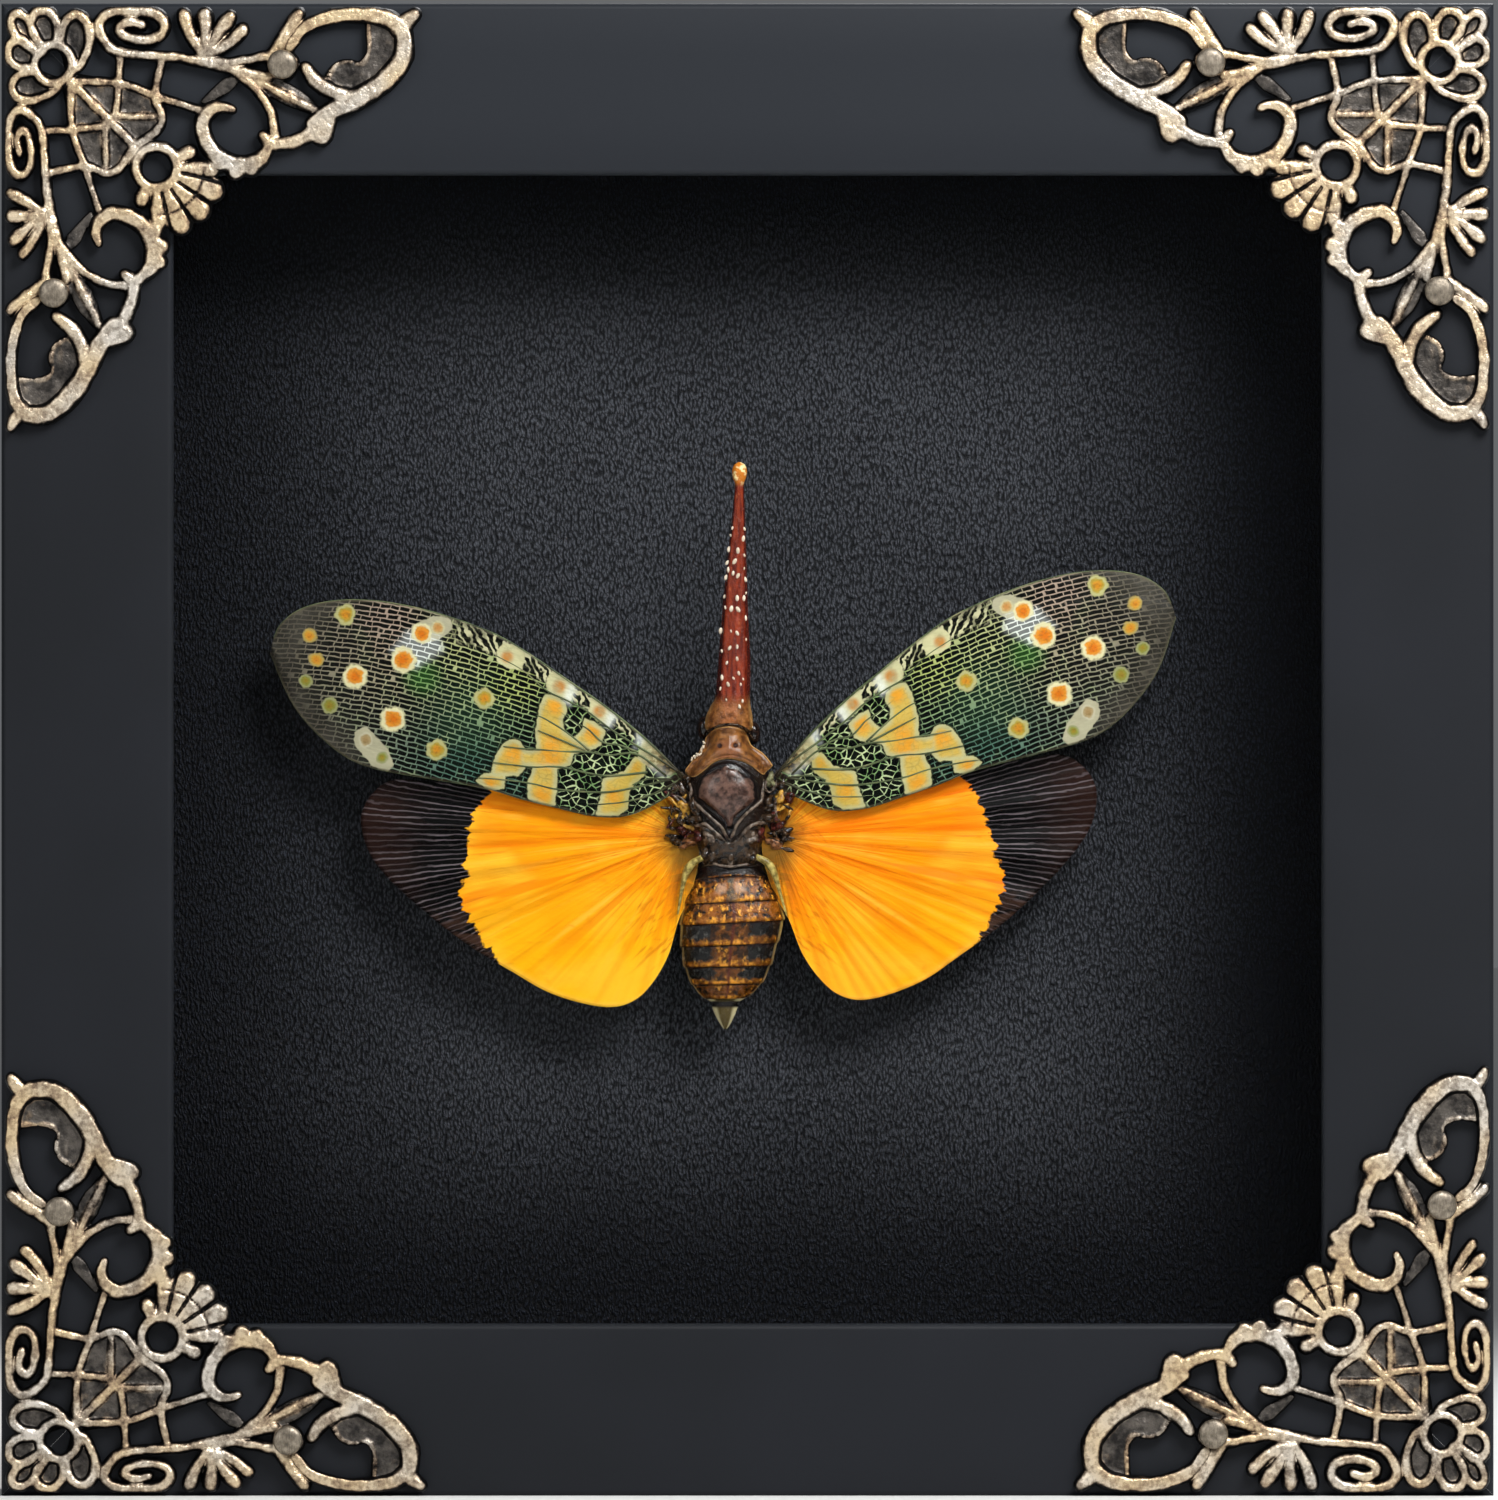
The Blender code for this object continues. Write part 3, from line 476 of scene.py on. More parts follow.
def steel():
    s = Shader("zinc_steel")
    where = s.object_mm()
    color = s.noise(where, 1.2, 4).tones(0.3, 0.7, "8e9090", "c2c4c2")
    color = color.coats((s.voronoi(where, 0.5, "Color"), 0.07))
    scratch = s.noise(s.object_mm(0.4, 1.0, 7.0), 2.0)
    return s.surface(color, scratch.span(0.3, 0.7, 0.28, 0.46), scratch, 0.2, 0.03, metallic=0.95)


def kraft_board():
    s = Shader("brown_board")
    fibre = s.noise(s.object_mm(1.0, 1.0, 0.25), 3.2, 5, 0.7)
    fleck = s.voronoi(s.object_mm(0.5, 1.0, 1.2), 1.1).fall(0.05, 0.16, 0.5)
    color = fibre.ramp((0.3, "6d4c30"), (0.55, "8f6a46"), (0.75, "a98359")).coats(("4a331f", fleck))
    return s.surface(color, 0.82, fibre, 0.4, 0.06)


def foam_strip():
    s = Shader("black_foam")
    pores = s.voronoi(s.object_mm(), 2.2)
    return s.surface(pores.tones(0.1, 0.5, "08090a", "17181a"), 0.88, pores, 0.5, 0.12)


def clear_pane():
    """Sees straight through, with a faint reflection that grows towards the edges of view."""
    s = Shader("clear_pane")
    s.tree.nodes.remove(s.principled)
    gloss = s.value("BsdfGlossy", Roughness=0.02, Color=(0.9, 0.95, 0.93))
    clear = s.value("BsdfTransparent", Color=(0.985, 0.99, 0.988))
    both = s.value("MixShader", s.value("Fresnel", IOR=1.14), clear, gloss)
    s.put(s.tree.nodes["Material Output"].inputs["Surface"], both)
    return s.mat


# The frame

def arc(center, radius, start, end, steps):
    turns = np.radians(np.linspace(start, end, steps + 1))
    return [(center[0] + radius * math.cos(t), center[1] + radius * math.sin(t)) for t in turns]


def moulding_profile():
    """(distance in from the outer edge, y) round the bar's section, with eased edges."""
    width, ease, tight = MOULDING_WIDTH, FRONT_EASE, BACK_EASE
    inner = width - RABBET_WIDTH
    return (
        arc((ease, FRONT_Y + ease), ease, 180, 270, 4)
        + [(width * 0.3, FRONT_Y), (width * 0.7, FRONT_Y)]
        + arc((width - ease, FRONT_Y + ease), ease, 270, 360, 4)
        + [(width, FRONT_Y + LIP_DEPTH), (inner, FRONT_Y + LIP_DEPTH), (inner, BACK_Y)]
        + arc((tight, BACK_Y - tight), tight, 90, 180, 2)
    )


def frame_point(side, along, inward, y):
    reach = HALF_SIDE - inward
    x, z = {"top": (along, reach), "bottom": (-along, -reach), "left": (-reach, along),
            "right": (reach, -along)}[side]
    return (x, y, z + HALF_SIDE)


def make_bars(mat):
    """Four bars, mitred because each line of the section is as long as its distance in allows."""
    for side in SIDES:
        rings = [np.array([frame_point(side, share * (HALF_SIDE - inward - MITRE_GAP), inward, y)
                           for inward, y in moulding_profile()]) for share in np.linspace(-1.0, 1.0, 6)]
        make_piece(f"bar_{side}", skin(rings), mat, f"moulding_{side}", 25)


# The corner ornament. Strokes are a crown height and (u, v, half width) from the frame's two outer
# edges. Each lies above the diagonal, and its mirror below.
STROKES = [
    (1.05, [(15.8, 4.2, .3), (10.7, 3.85, .38), (9.1, 2.8, .42), (8.7, 1.6, .44), (9.6, .8, .42),
     (11.5, .62, .42), (13.4, .8, .44), (14.3, 1.6, .44), (13.9, 2.5, .4), (12.5, 2.85, .38),
     (10.9, 2.5, .38), (10.4, 1.9, .38), (11.3, 1.5, .36), (12.5, 1.75, .32)]),
    (1.0, [(23.5, 4.0, .46), (25.0, 1.8, .54), (25.7, .9, .52)]),
    (1.15, [(24.9, 3.5, .36), (26.1, 2.0, .46), (28.6, 1.05, .52), (31.2, .9, .56), (33.5, 1.35, .64),
     (34.6, 2.4, .74), (34.5, 4.4, .84), (33.0, 6.3, .88), (30.6, 7.8, .86), (28.4, 8.9, .78),
     (27.0, 9.9, .7)]),
    (1.0, [(30.5, 7.5, .5), (28.9, 7.3, .58), (27.3, 6.4, .62), (26.3, 5.1, .46)]),
    (1.0, [(34.2, 2.0, .7), (35.0, 1.3, .62), (35.6, .9, .5)]),
    (1.15, [(28.2, 9.4, .76), (27.7, 10.9, .86)]),
    (1.05, [(27.6, 10.2, .7), (26.2, 11.0, .6), (24.6, 11.6, .56), (23.3, 11.6, .52), (22.7, 10.9, .42)]),
    (1.1, [(20.1, 8.7, .26), (19.2, 8.45, .44), (18.1, 8.8, .58), (17.5, 9.9, .66), (17.9, 11.5, .68),
     (18.9, 12.7, .74), (20.5, 13.4, .8), (22.0, 13.2, .74), (22.9, 12.3, .54), (23.3, 11.4, .42)]),
    (1.0, [(17.3, 3.7, .34), (16.6, 2.6, .5), (16.1, 1.5, .6), (15.9, .95, .56)]),
    (1.05, [(17.7, 3.7, .32), (17.75, 2.4, .46), (17.75, 1.4, .66), (17.75, 1.05, .62)]),
    (1.05, [(18.0, 3.7, .3), (18.8, 2.4, .46), (19.5, 1.5, .64), (19.8, 1.15, .54)]),
    (1.0, [(17.3, 3.9, .32), (18.9, 3.55, .44), (20.2, 2.75, .5), (20.9, 2.1, .54)]),
    (.9, [(12.5, 4.1, .3), (16.0, 4.35, .36), (19.7, 4.65, .36), (22.6, 4.2, .38), (23.4, 4.3, .38)]),
    (.85, [(16.2, 4.5, .28), (19.0, 5.05, .34), (21.2, 5.5, .36), (23.2, 5.95, .36)]),
    (.85, [(20.0, 5.3, .3), (22.2, 7.1, .34), (23.4, 9.1, .38), (23.7, 11.3, .42)]),
    (.7, [(20.8, 5.6, .26), (23.4, 6.9, .36), (27.4, 8.9, .36)]),
    (.75, [(6.0, 6.3, .32), (10.2, 6.4, .32), (13.5, 7.5, .32), (17.6, 8.8, .28)]),
    (.75, [(10.5, 4.0, .3), (10.4, 6.4, .3), (10.1, 9.2, .3)]),
    (.8, [(14.1, 4.2, .32), (13.5, 7.5, .34), (14.1, 9.3, .34), (13.6, 10.5, .36), (11.8, 11.8, .4)]),
    (.7, [(9.8, 9.3, .28), (14.1, 9.3, .3)]),
    (.95, [(3.9, 3.5, .3), (2.9, 2.2, .34), (3.1, .9, .4), (4.3, .65, .4), (5.1, 1.6, .36),
     (5.1, 3.2, .3)]),
    (.95, [(5.5, 3.4, .3), (5.7, 1.7, .36), (6.7, .9, .42), (7.7, 1.6, .42), (7.9, 3.0, .38),
     (7.2, 4.8, .34), (6.2, 5.5, .3)]),
    (.62, [(31.6, 1.3, .1), (31.65, 3.6, .1), (31.0, 4.75, .1), (29.8, 4.55, .1), (28.7, 5.0, .1),
     (27.9, 6.4, .1)]),
]
DIAGONAL_STROKES = [
    (.75, [(6.0, 6.0, .34), (9.2, 9.2, .38), (12.0, 12.0, .4)]),
    (.95, [(4.0, 3.7, .3), (2.6, 1.4, .36), (1.4, .85, .4), (.85, 1.4, .4), (1.4, 2.6, .36),
     (3.7, 4.0, .3)]),
]
# Crown height, middle, radius and half width
RINGS = [(1.0, 4.83, 1.62, .38), (1.05, 13.58, 1.76, .42)]
# Angle from the diagonal, length and tip radius
SHELL_LOBES = [(0, 6.15, 1.08), (22, 6.15, 1.08), (42, 5.4, .7), (69, 3.7, .62)]
# A lobe's half width at the ring. Then a length, and what each unit of tip radius adds to it, for the
# half width of its middle and for its crown height.
LOBE_ROOT, LOBE_MIDDLE, LOBE_CROWN = 0.4, (0.25, 0.6), (0.8, 0.3)
# Outlines of the low webs between the strokes
WEBS = [
    [(31.6, 1.0), (31.6, 3.7), (30.9, 4.8), (29.8, 4.6), (28.7, 5.0), (27.9, 6.4), (28.6, 7.5),
     (30.6, 7.5), (32.8, 6.2), (34.3, 4.4), (34.2, 2.2)],
    [(17.4, 8.0), (19.4, 6.1), (20.5, 6.2), (20.0, 7.0), (18.2, 7.9)],
    [(20.8, 5.3), (23.4, 6.0), (25.8, 7.1), (27.6, 9.0), (25.0, 8.4), (22.6, 7.0)],
    [(3.9, 3.5), (2.9, 2.2), (3.1, .9), (4.3, .65), (5.1, 1.6), (5.1, 3.2)],
    [(5.5, 3.4), (5.7, 1.7), (6.7, .9), (7.7, 1.6), (7.9, 3.0), (7.2, 4.8), (6.2, 5.5)],
]
DIAGONAL_WEBS = [
    [(6.0, 6.0), (10.2, 6.4), (13.5, 7.5), (14.1, 9.3), (13.6, 10.5), (11.8, 11.8), (10.5, 13.6),
     (9.3, 14.1), (7.5, 13.5), (6.4, 10.2)],
    [(4.0, 3.7), (2.6, 1.4), (1.4, .85), (.85, 1.4), (1.4, 2.6), (3.7, 4.0)],
]
WEB_HEIGHT = 0.35
# Grooves cut in the shell: between its lobes, by angle from the diagonal, and one across them.
# They end at SHELL_REACH, and SHELL_TURN degrees from the diagonal.
GROOVE_ANGLES = (11.0, 32.0)
GROOVE_RADIUS, GROOVE_WIDTH, GROOVE_DEPTH, GROOVE_FLOOR = 4.1, 0.11, 0.25, 0.3
SHELL_REACH, SHELL_TURN = 6.3, 46.0
# Small balls: u, v and radius
BALLS = [(19.0, 13.3, .74), (20.35, 13.85, .78), (21.6, 13.7, .72)]
CASTING_HEIGHT = 1.15
# Where a tack goes through, and the flat eyelet round it
TACK_LONG, TACK_SHORT = 24.3, 4.85
EYELET_RADIUS, EYELET_HEIGHT = 1.3, 0.9
# A ball is a very short stroke
BALL_STRETCH = 0.05
# Powers that make a stroke's round section a little fuller
WIDTH_POWER, HEIGHT_POWER = 0.8, 0.75
# The tack's head and shank: (share of the head's radius, out) and (radius, out)
TACK_RISE = 0.55
TACK_DOME = [(0.96, 0.0), (1.0, 0.1), (0.97, 0.24), (0.86, 0.38), (0.66, 0.48), (0.4, 0.53),
             (0.12, TACK_RISE)]
TACK_SHANK = [(0.2, -5.5), (0.5, -4.6), (0.5, 0.0)]
TACK_SIDES = 40
# The cast surface: its grid, how far it swells, and its lumps
VOXEL = 0.17
FULLNESS = 0.15
ROUGHNESS, ROUGHNESS_PITCH = 0.09, 0.9
# A casting keeps this margin to the frame's edge, and slides in full from SLIDE_START on
EDGE_MARGIN, SLIDE_START = 0.3, 4.0
# The casting's flips along x and z, and how far it slides in u and back in v
CORNERS = {"top_left": (-1, 1, -0.38), "top_right": (1, 1, -0.20), "bottom_left": (-1, -1, 0.10),
           "bottom_right": (1, -1, -0.43)}


def stroke_shape(points, crown, closed=False):
    """A bar of half-round section along a path: u, height, v."""
    path = smooth_path(points, 5, closed)
    centers, widths = path[:, :2], np.clip(path[:, 2], 0.1, None)
    way = directions(centers, closed)
    normals = np.column_stack([-way[:, 1], way[:, 0]])
    stations = [(c, n, w, 1.0) for c, n, w in zip(centers, normals, widths)]
    if not closed:
        for turn in np.radians((30, 60, 80)):
            low, out = math.cos(turn), math.sin(turn)
            ends = [(centers[k] + sign * way[k] * widths[k] * out, normals[k], widths[k] * low, low**0.5)
                    for k, sign in ((0, -1), (-1, 1))]
            stations = [ends[0], *stations, ends[1]]
    turns = np.radians(np.linspace(0, 180, 9))
    across = np.sign(np.cos(turns)) * np.abs(np.cos(turns)) ** WIDTH_POWER
    up = np.abs(np.sin(turns)) ** HEIGHT_POWER
    rings = []
    for center, normal, width, low in stations:
        flat = center + normal * across[:, None] * width
        rings.append(np.column_stack([flat[:, 0], up * crown * low, flat[:, 1]]))
    return skin(rings + rings[:1], False) if closed else skin(rings)


def both_ways(points):
    """The points, and their mirror across the diagonal."""
    return [points, [(p[1], p[0], *p[2:]) for p in points]]


def casting_shapes():
    """Every closed shape of the casting. They still overlap."""
    strokes = [(way, crown) for crown, points in STROKES for way in both_ways(points)]
    strokes += [(points, crown) for crown, points in DIAGONAL_STROKES]
    ring_center, ring_radius = RINGS[1][1:3]
    for angle, length, tip in SHELL_LOBES:
        for turn in np.radians(sorted({45 - angle, 45 + angle})):
            way = np.array((math.cos(turn), math.sin(turn)))
            spots = [(*(ring_center + way * r), w) for r, w in (
                (ring_radius, LOBE_ROOT),
                ((ring_radius + length) / 2, LOBE_MIDDLE[0] + tip * LOBE_MIDDLE[1]),
                (length - tip, tip))]
            strokes.append((spots, LOBE_CROWN[0] + LOBE_CROWN[1] * tip))
    dots = [(*ball, CASTING_HEIGHT) for ball in BALLS]
    dots.append((TACK_LONG, TACK_SHORT, EYELET_RADIUS, EYELET_HEIGHT))
    for long, short, radius, crown in dots:
        for u, v in ((long, short), (short, long)):
            strokes.append(([(u, v, radius), (u + BALL_STRETCH, v, radius)], crown))
    shapes = [stroke_shape(*stroke) for stroke in strokes]
    for crown, center, radius, width in RINGS:
        circle = [(center + radius * math.cos(t), center + radius * math.sin(t), width) for t in around(12)]
        shapes.append(stroke_shape(circle, crown, True))
    for outline in [way for web in WEBS for way in both_ways(web)] + DIAGONAL_WEBS:
        u, v = smooth_path(outline, 3, True).T
        shapes.append(skin([np.column_stack([u, np.full(len(u), h), v]) for h in (0.0, WEB_HEIGHT)]))
    return shapes


def shell_grooves(points):
    """How deep in the shell's grooves each casting point is, 0 to 1."""
    center, ring_radius = RINGS[1][1:3]
    du, dv = points[:, 0] - center, points[:, 2] - center
    radius = np.hypot(du, dv)
    angle = np.abs(np.degrees(np.arctan2(dv, du)) - 45.0)
    off = np.min([np.abs(angle - border) for border in GROOVE_ANGLES], axis=0)
    off = np.minimum(np.radians(off) * radius, np.abs(radius - GROOVE_RADIUS) * 1.2)
    within = (angle < SHELL_TURN) & (radius > ring_radius + 0.4) & (radius < SHELL_REACH)
    return bell(off, GROOVE_WIDTH) * within


def cast(shapes):
    """One mesh of small even faces over the union of the shapes."""
    bm = bmesh.new()
    for verts, faces in shapes:
        made = [bm.verts.new(v) for v in verts]
        new = [bm.faces.new([made[i] for i in face]) for face in faces]
        bmesh.ops.remove_doubles(bm, verts=made, dist=1e-5)
        bmesh.ops.recalc_face_normals(bm, faces=[f for f in new if f.is_valid])
    mesh = bpy.data.meshes.new("casting")
    bm.to_mesh(mesh)
    bm.free()
    ob = add_object("casting", mesh)
    remesh = ob.modifiers.new("Remesh", "REMESH")
    remesh.mode = "VOXEL"
    remesh.voxel_size = VOXEL
    relax = ob.modifiers.new("Smooth", "SMOOTH")
    relax.factor, relax.iterations = 0.5, 2
    bpy.context.view_layer.update()
    done = bpy.data.meshes.new_from_object(ob.evaluated_get(bpy.context.evaluated_depsgraph_get()))
    bpy.data.objects.remove(ob)
    return done


def in_corner(points, height, flip_x, flip_z, slide):
    def slid(value, slide):
        share = np.clip(value / SLIDE_START, 0.0, 1.0)
        return np.maximum(value + slide * share * share * (3 - 2 * share), EDGE_MARGIN)

    x, z = HALF_SIDE - slid(points[:, 0], slide), HALF_SIDE - slid(points[:, 2], -slide)
    return np.column_stack([flip_x * x, FRONT_Y - ORNAMENT_GAP - height, HALF_SIDE + flip_z * z])


def make_ornaments(mat):
    casting = cast(casting_shapes())
    points, normals = (np.zeros(len(casting.vertices) * 3) for _ in range(2))
    casting.vertices.foreach_get("co", points)
    casting.vertex_normals.foreach_get("vector", normals)
    points = points.reshape(-1, 3)
    rough = np.array([noise.noise(p) for p in points / ROUGHNESS_PITCH])[:, None] * ROUGHNESS
    points = points + (FULLNESS + rough) * normals.reshape(-1, 3)
    groove = shell_grooves(points)
    height = np.clip(points[:, 1], 0.0, CASTING_HEIGHT)
    cut = np.maximum(height - groove * GROOVE_DEPTH, GROOVE_FLOOR)
    height = np.where(height > GROOVE_FLOOR, cut, height)
    for corner, (flip_x, flip_z, slide) in CORNERS.items():
        mesh = casting.copy()
        placed = in_corner(points, height, flip_x, flip_z, slide) * MM
        mesh.vertices.foreach_set("co", placed.ravel())
        if flip_x * flip_z < 0:
            mesh.flip_normals()
        ob = finish_piece(f"filigree_{corner}", mesh, mat, f"ornament_{corner}")
        set_fields(ob, {"height": height / CASTING_HEIGHT, "groove": groove})
    bpy.data.meshes.remove(casting)


def make_tacks(mat):
    """Round heads turned about y, whose outlines go out along -y."""
    for corner in CORNERS:
        for leg in ("upright", "level"):
            node = f"tack_{corner}_{leg}"
            low, high = (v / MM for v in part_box(node))
            middle, radius = (low + high) / 2, (high.x - low.x) / 2
            outline = TACK_SHANK + [(radius * share, out) for share, out in TACK_DOME]
            top = low.y + TACK_RISE
            rings = [np.array([(middle.x + r * math.cos(t), top - out, middle.z + r * math.sin(t))
                               for t in around(TACK_SIDES)]) for r, out in outline]
            make_piece(f"{node}_head", skin(rings), mat, node, 50)


# The specimen. Names with _PX hold places in the photograph, because those are easy to check.

def front_mm(px, py):
    """(x, z) in millimetres of a point seen from the front."""
    return (px - FRAME_CENTER_PX[0]) * PHOTO_MM, HALF_SIDE - (py - FRAME_CENTER_PX[1]) * PHOTO_MM


def front_path(path_px, steps=6, closed=False):
    return smooth_path([front_mm(*p) for p in path_px], steps, closed)


# Wings. Outlines are in each wing's own plane: outwards from its root, and towards its leading edge.
WING_ROOTS = {"fore": (3.66, -1.9, 60.82), "hind": (3.66, -1.0, 57.42)}
WING_ANGLES = {("fore", "left"): 17.5, ("fore", "right"): 22.5, ("hind", "left"): 0.0, ("hind", "right"): 5.0}
WING_DROOP, WING_CAMBER, HINDWING_DROOP = 2.2, 0.5, 2.0
FOREWING_THICKNESS, HINDWING_THICKNESS = 0.16, 0.14
# Grids of the wings: steps to each span of an outline, points across, and rings out from the hub
FOREWING_STEPS, FOREWING_ACROSS = 15, 61
HINDWING_STEPS, HINDWING_RINGS, INNER_RING, RING_POWER = 14, 56, 0.03, 0.9
# Ripples over a forewing: how many, how they slant and how deep they are
RIPPLES, RIPPLE_SLANT, RIPPLE_DEPTH = 13, 0.12, 0.035
# Half widths of the forewing's veins, at the root and at the end, and of its two edges
VEIN_RADII, VEIN_SINK = (0.1, 0.05), -0.01
COSTA_RADIUS, HEM_RADIUS, HEM_TAPER, HEM_SINK = 0.11, 0.06, 0.45, 0.07
FOREWING_LEADING = [
    (.4, .3), (4.4, 2.35), (8.6, 4.0), (12.0, 5.05), (15.8, 6.2), (19.2, 7.0), (23.2, 7.25), (27.0, 7.1),
    (30.5, 6.55), (33.5, 5.55), (35.85, 4.1), (37.1, 2.4), (37.35, 1.0),
]
FOREWING_TRAILING = [
    (.4, -.9), (2.3, -3.0), (4.15, -4.45), (6.7, -5.25), (9.6, -5.5), (13.0, -5.72), (16.5, -5.8),
    (22.9, -6.7), (26.5, -7.05), (29.1, -6.6), (32.1, -5.25), (34.5, -3.5), (37.25, -.3),
]
HINDWING_EDGE = [
    (.1, .3), (.5, 1.5), (1.4, 2.15), (3.6, 2.25), (10.7, 2.4), (21.6, 3.3), (25.0, 3.5), (26.8, 2.4),
    (27.8, .6), (27.65, -1.4), (26.7, -3.5), (24.7, -5.75), (22.15, -8.0), (19.8, -9.85), (17.6, -11.35),
    (14.8, -13.0), (12.0, -14.6), (9.0, -15.6), (6.4, -15.95), (4.5, -15.4), (3.0, -14.0), (1.6, -11.6),
    (.7, -8.6), (-.3, -6.4), (-1.0, -3.6), (-1.0, -1.2), (-.5, -.2),
]
# Where the hindwing's folds meet, and how far it reaches
HINDWING_HUB, HINDWING_REACH = (0.0, -1.4), 27.8
# Outlines of the patches on the forewing
YELLOW_PATCHES = [
    [(13.7, 3.4), (12.8, 3.6), (11.8, 3.2), (11.5, 2.4), (11.7, 1.8), (11.2, .9), (9.8, .4), (8.7, 0),
     (9.9, -.7), (9.9, -1.7), (10.6, -2.2), (12.3, -2.7), (13.4, -2.9), (13.9, -3.0), (14.4, -1.9),
     (13.0, -1.3), (13.6, .3), (13.9, 2.2)],
    [(9.9, 2.5), (9.0, 2.4), (7.9, 2.0), (7.9, .7), (8.6, 0), (9.8, .2), (10.3, .6), (9.8, 1.5)],
    [(15.9, -1.7), (15.2, -1.0), (14.5, -1.1), (13.9, -1.7), (13.5, -3.0), (13.8, -3.9), (16.1, -4.6),
     (16.2, -2.9)],
    [(17.2, -5.4), (16.7, -4.6), (14.9, -4.1), (14.7, -5.3), (15.8, -5.9)],
    [(12.8, -2.5), (11.0, -2.0), (10.6, -3.1), (10.1, -5.4), (10.7, -5.8), (12.4, -5.6), (12.9, -4.3)],
    [(6.9, -2.0), (5.3, -.8), (4.8, .7), (3.8, .6), (3.6, -.6), (4.2, -1.6), (4.4, -2.5), (4.1, -3.8),
     (4.7, -4.6), (6.5, -5.2), (6.6, -3.2)],
]
CREAM_PATCHES = [
    [(18.5, 6.4), (17.6, 6.7), (16.4, 6.3), (16.3, 4.8), (17.3, 4.6), (18.5, 4.8), (18.8, 5.8)],
    [(13.7, 5.6), (12.6, 5.3), (11.5, 4.8), (11.5, 3.3), (12.5, 3.5), (13.8, 3.8), (14.0, 4.8)],
    [(9.8, 4.5), (8.6, 4.1), (7.4, 3.6), (7.8, 2.4), (8.7, 2.6), (9.8, 3.1)],
    [(4.6, 2.3), (3.7, 2.2), (2.5, 1.5), (.8, .9), (1.5, 0), (2.7, 0), (3.6, .2), (4.6, .6)],
    [(24.9, 6.9), (23.4, 7.2), (23.0, 6.3), (23.8, 5.2), (25.0, 4.4), (26.2, 4.5), (26.3, 5.6)],
    [(25.9, -6.9), (24.6, -6.9), (24.3, -6.2), (25.2, -5.1), (26.4, -4.4), (27.6, -3.8), (28.3, -4.6),
     (28.0, -5.6), (27.0, -6.2)],
]
WHITE_MARKS = [
    [(5.1, 2.8), (4.6, 2.5), (4.7, 1.7), (5.0, 1.5)],
    [(3.2, .2), (2.4, .4), (1.5, 0), (2.0, -.4)],
    [(11.9, 4.9), (11.5, 4.8), (11.5, 3.3), (12.0, 3.4)],
    [(8.0, 3.6), (7.4, 3.5), (7.7, 2.4), (8.1, 2.6)],
    [(27.4, 3.0), (26.6, 5.0), (24.0, 5.4), (23.2, 4.4), (25.0, 2.2)],
]
# Round marks: out, lead, radius, kind
SPOTS = [
    (32.1, 4.8, .85, "olive"), (34.45, 2.15, .6, "amber"), (33.3, .35, .6, "amber"),
    (33.6, -1.6, .57, "green"), (31.05, -3.0, .68, "green"), (29.7, 0.0, 1.0, "ringed"),
    (25.55, -2.5, 1.02, "ringed"), (26.2, 2.6, 1.06, "ringed"), (25.4, 5.2, .85, "ringed"),
    (24.2, 6.1, .6, "pale"), (18.6, 1.5, .85, "olive"), (21.15, -3.9, .85, "olive"),
    (27.2, -4.9, .62, "tan"), (25.4, -5.9, .5, "green"),
]
# Warm cores inside the patches: out, lead, radius
CORES = [
    (17.8, 5.5, .7), (12.8, 4.4, .75), (8.9, 3.4, .7), (12.6, 2.7, .8), (8.9, 1.5, .9), (11.9, -.5, .9),
    (14.8, -2.3, .9), (11.7, -1.6, 1.2), (11.4, -4.8, .85), (5.4, -3.2, .8), (4.4, -.2, .7),
    (16.0, -5.2, .7),
]
FOREWING_VEINS = [
    [(.8, .5), (2.9, 1.1), (5.0, 1.6), (7.6, 2.3), (9.8, 3.1), (11.9, 3.5), (13.8, 3.8), (16.2, 4.8),
     (18.7, 5.3)],
    [(4.8, 1.1), (6.4, 1.2), (7.8, 1.0), (9.4, 1.7), (10.9, 2.0), (13.6, 2.9)],
    [(1.8, -.1), (4.7, .9), (7.0, .1), (8.9, -.2), (10.9, -.8), (12.7, -1.2), (14.3, -1.6), (15.8, -1.9)],
    [(8.7, 0), (11.1, .9), (13.0, 1.4), (13.9, 1.5)],
    [(9.0, -.1), (11.2, .1), (13.4, .3)],
    [(3.4, -.3), (6.9, -1.7), (10.6, -2.1), (12.8, -2.8), (14.8, -3.2), (16.3, -3.5)],
    [(1.2, -.2), (4.1, -1.9), (6.6, -3.1), (10.3, -4.0), (12.6, -4.2), (15.4, -4.7), (17.0, -5.1)],
    [(1.4, -.3), (3.1, -.8), (4.3, -1.7)],
    [(.9, -.5), (2.6, -2.1), (4.5, -3.3), (6.6, -4.2)],
]
# The inner borders of the smoky and the black tips. Points beyond the wings close them.
TIP_BORDER = [
    (30.6, 8.0), (33.2, 4.4), (33.7, 2.4), (34.4, .6), (33.9, -1.2), (32.3, -2.6), (30.4, -4.2),
    (28.6, -5.6), (24.5, -8.0),
]
BLACK_TIP = {
    "left": [(15.5, 6.0), (16.8, 2.5), (18.3, .6), (18.6, -1.0), (18.8, -3.0), (18.9, -4.7), (19.6, -6.0),
     (18.7, -8.0), (17.6, -10.1), (16.4, -11.6), (15.0, -14.5)],
    "right": [(15.5, 5.5), (16.5, 2.2), (17.5, .8), (18.2, -1.3), (18.6, -3.7), (19.4, -6.0),
     (18.9, -8.3), (17.5, -10.5), (15.5, -13.5)],
}
BEYOND_FOREWING, BEYOND_HINDWING = [(45, -12), (45, 12)], [(40, -20), (40, 10)]
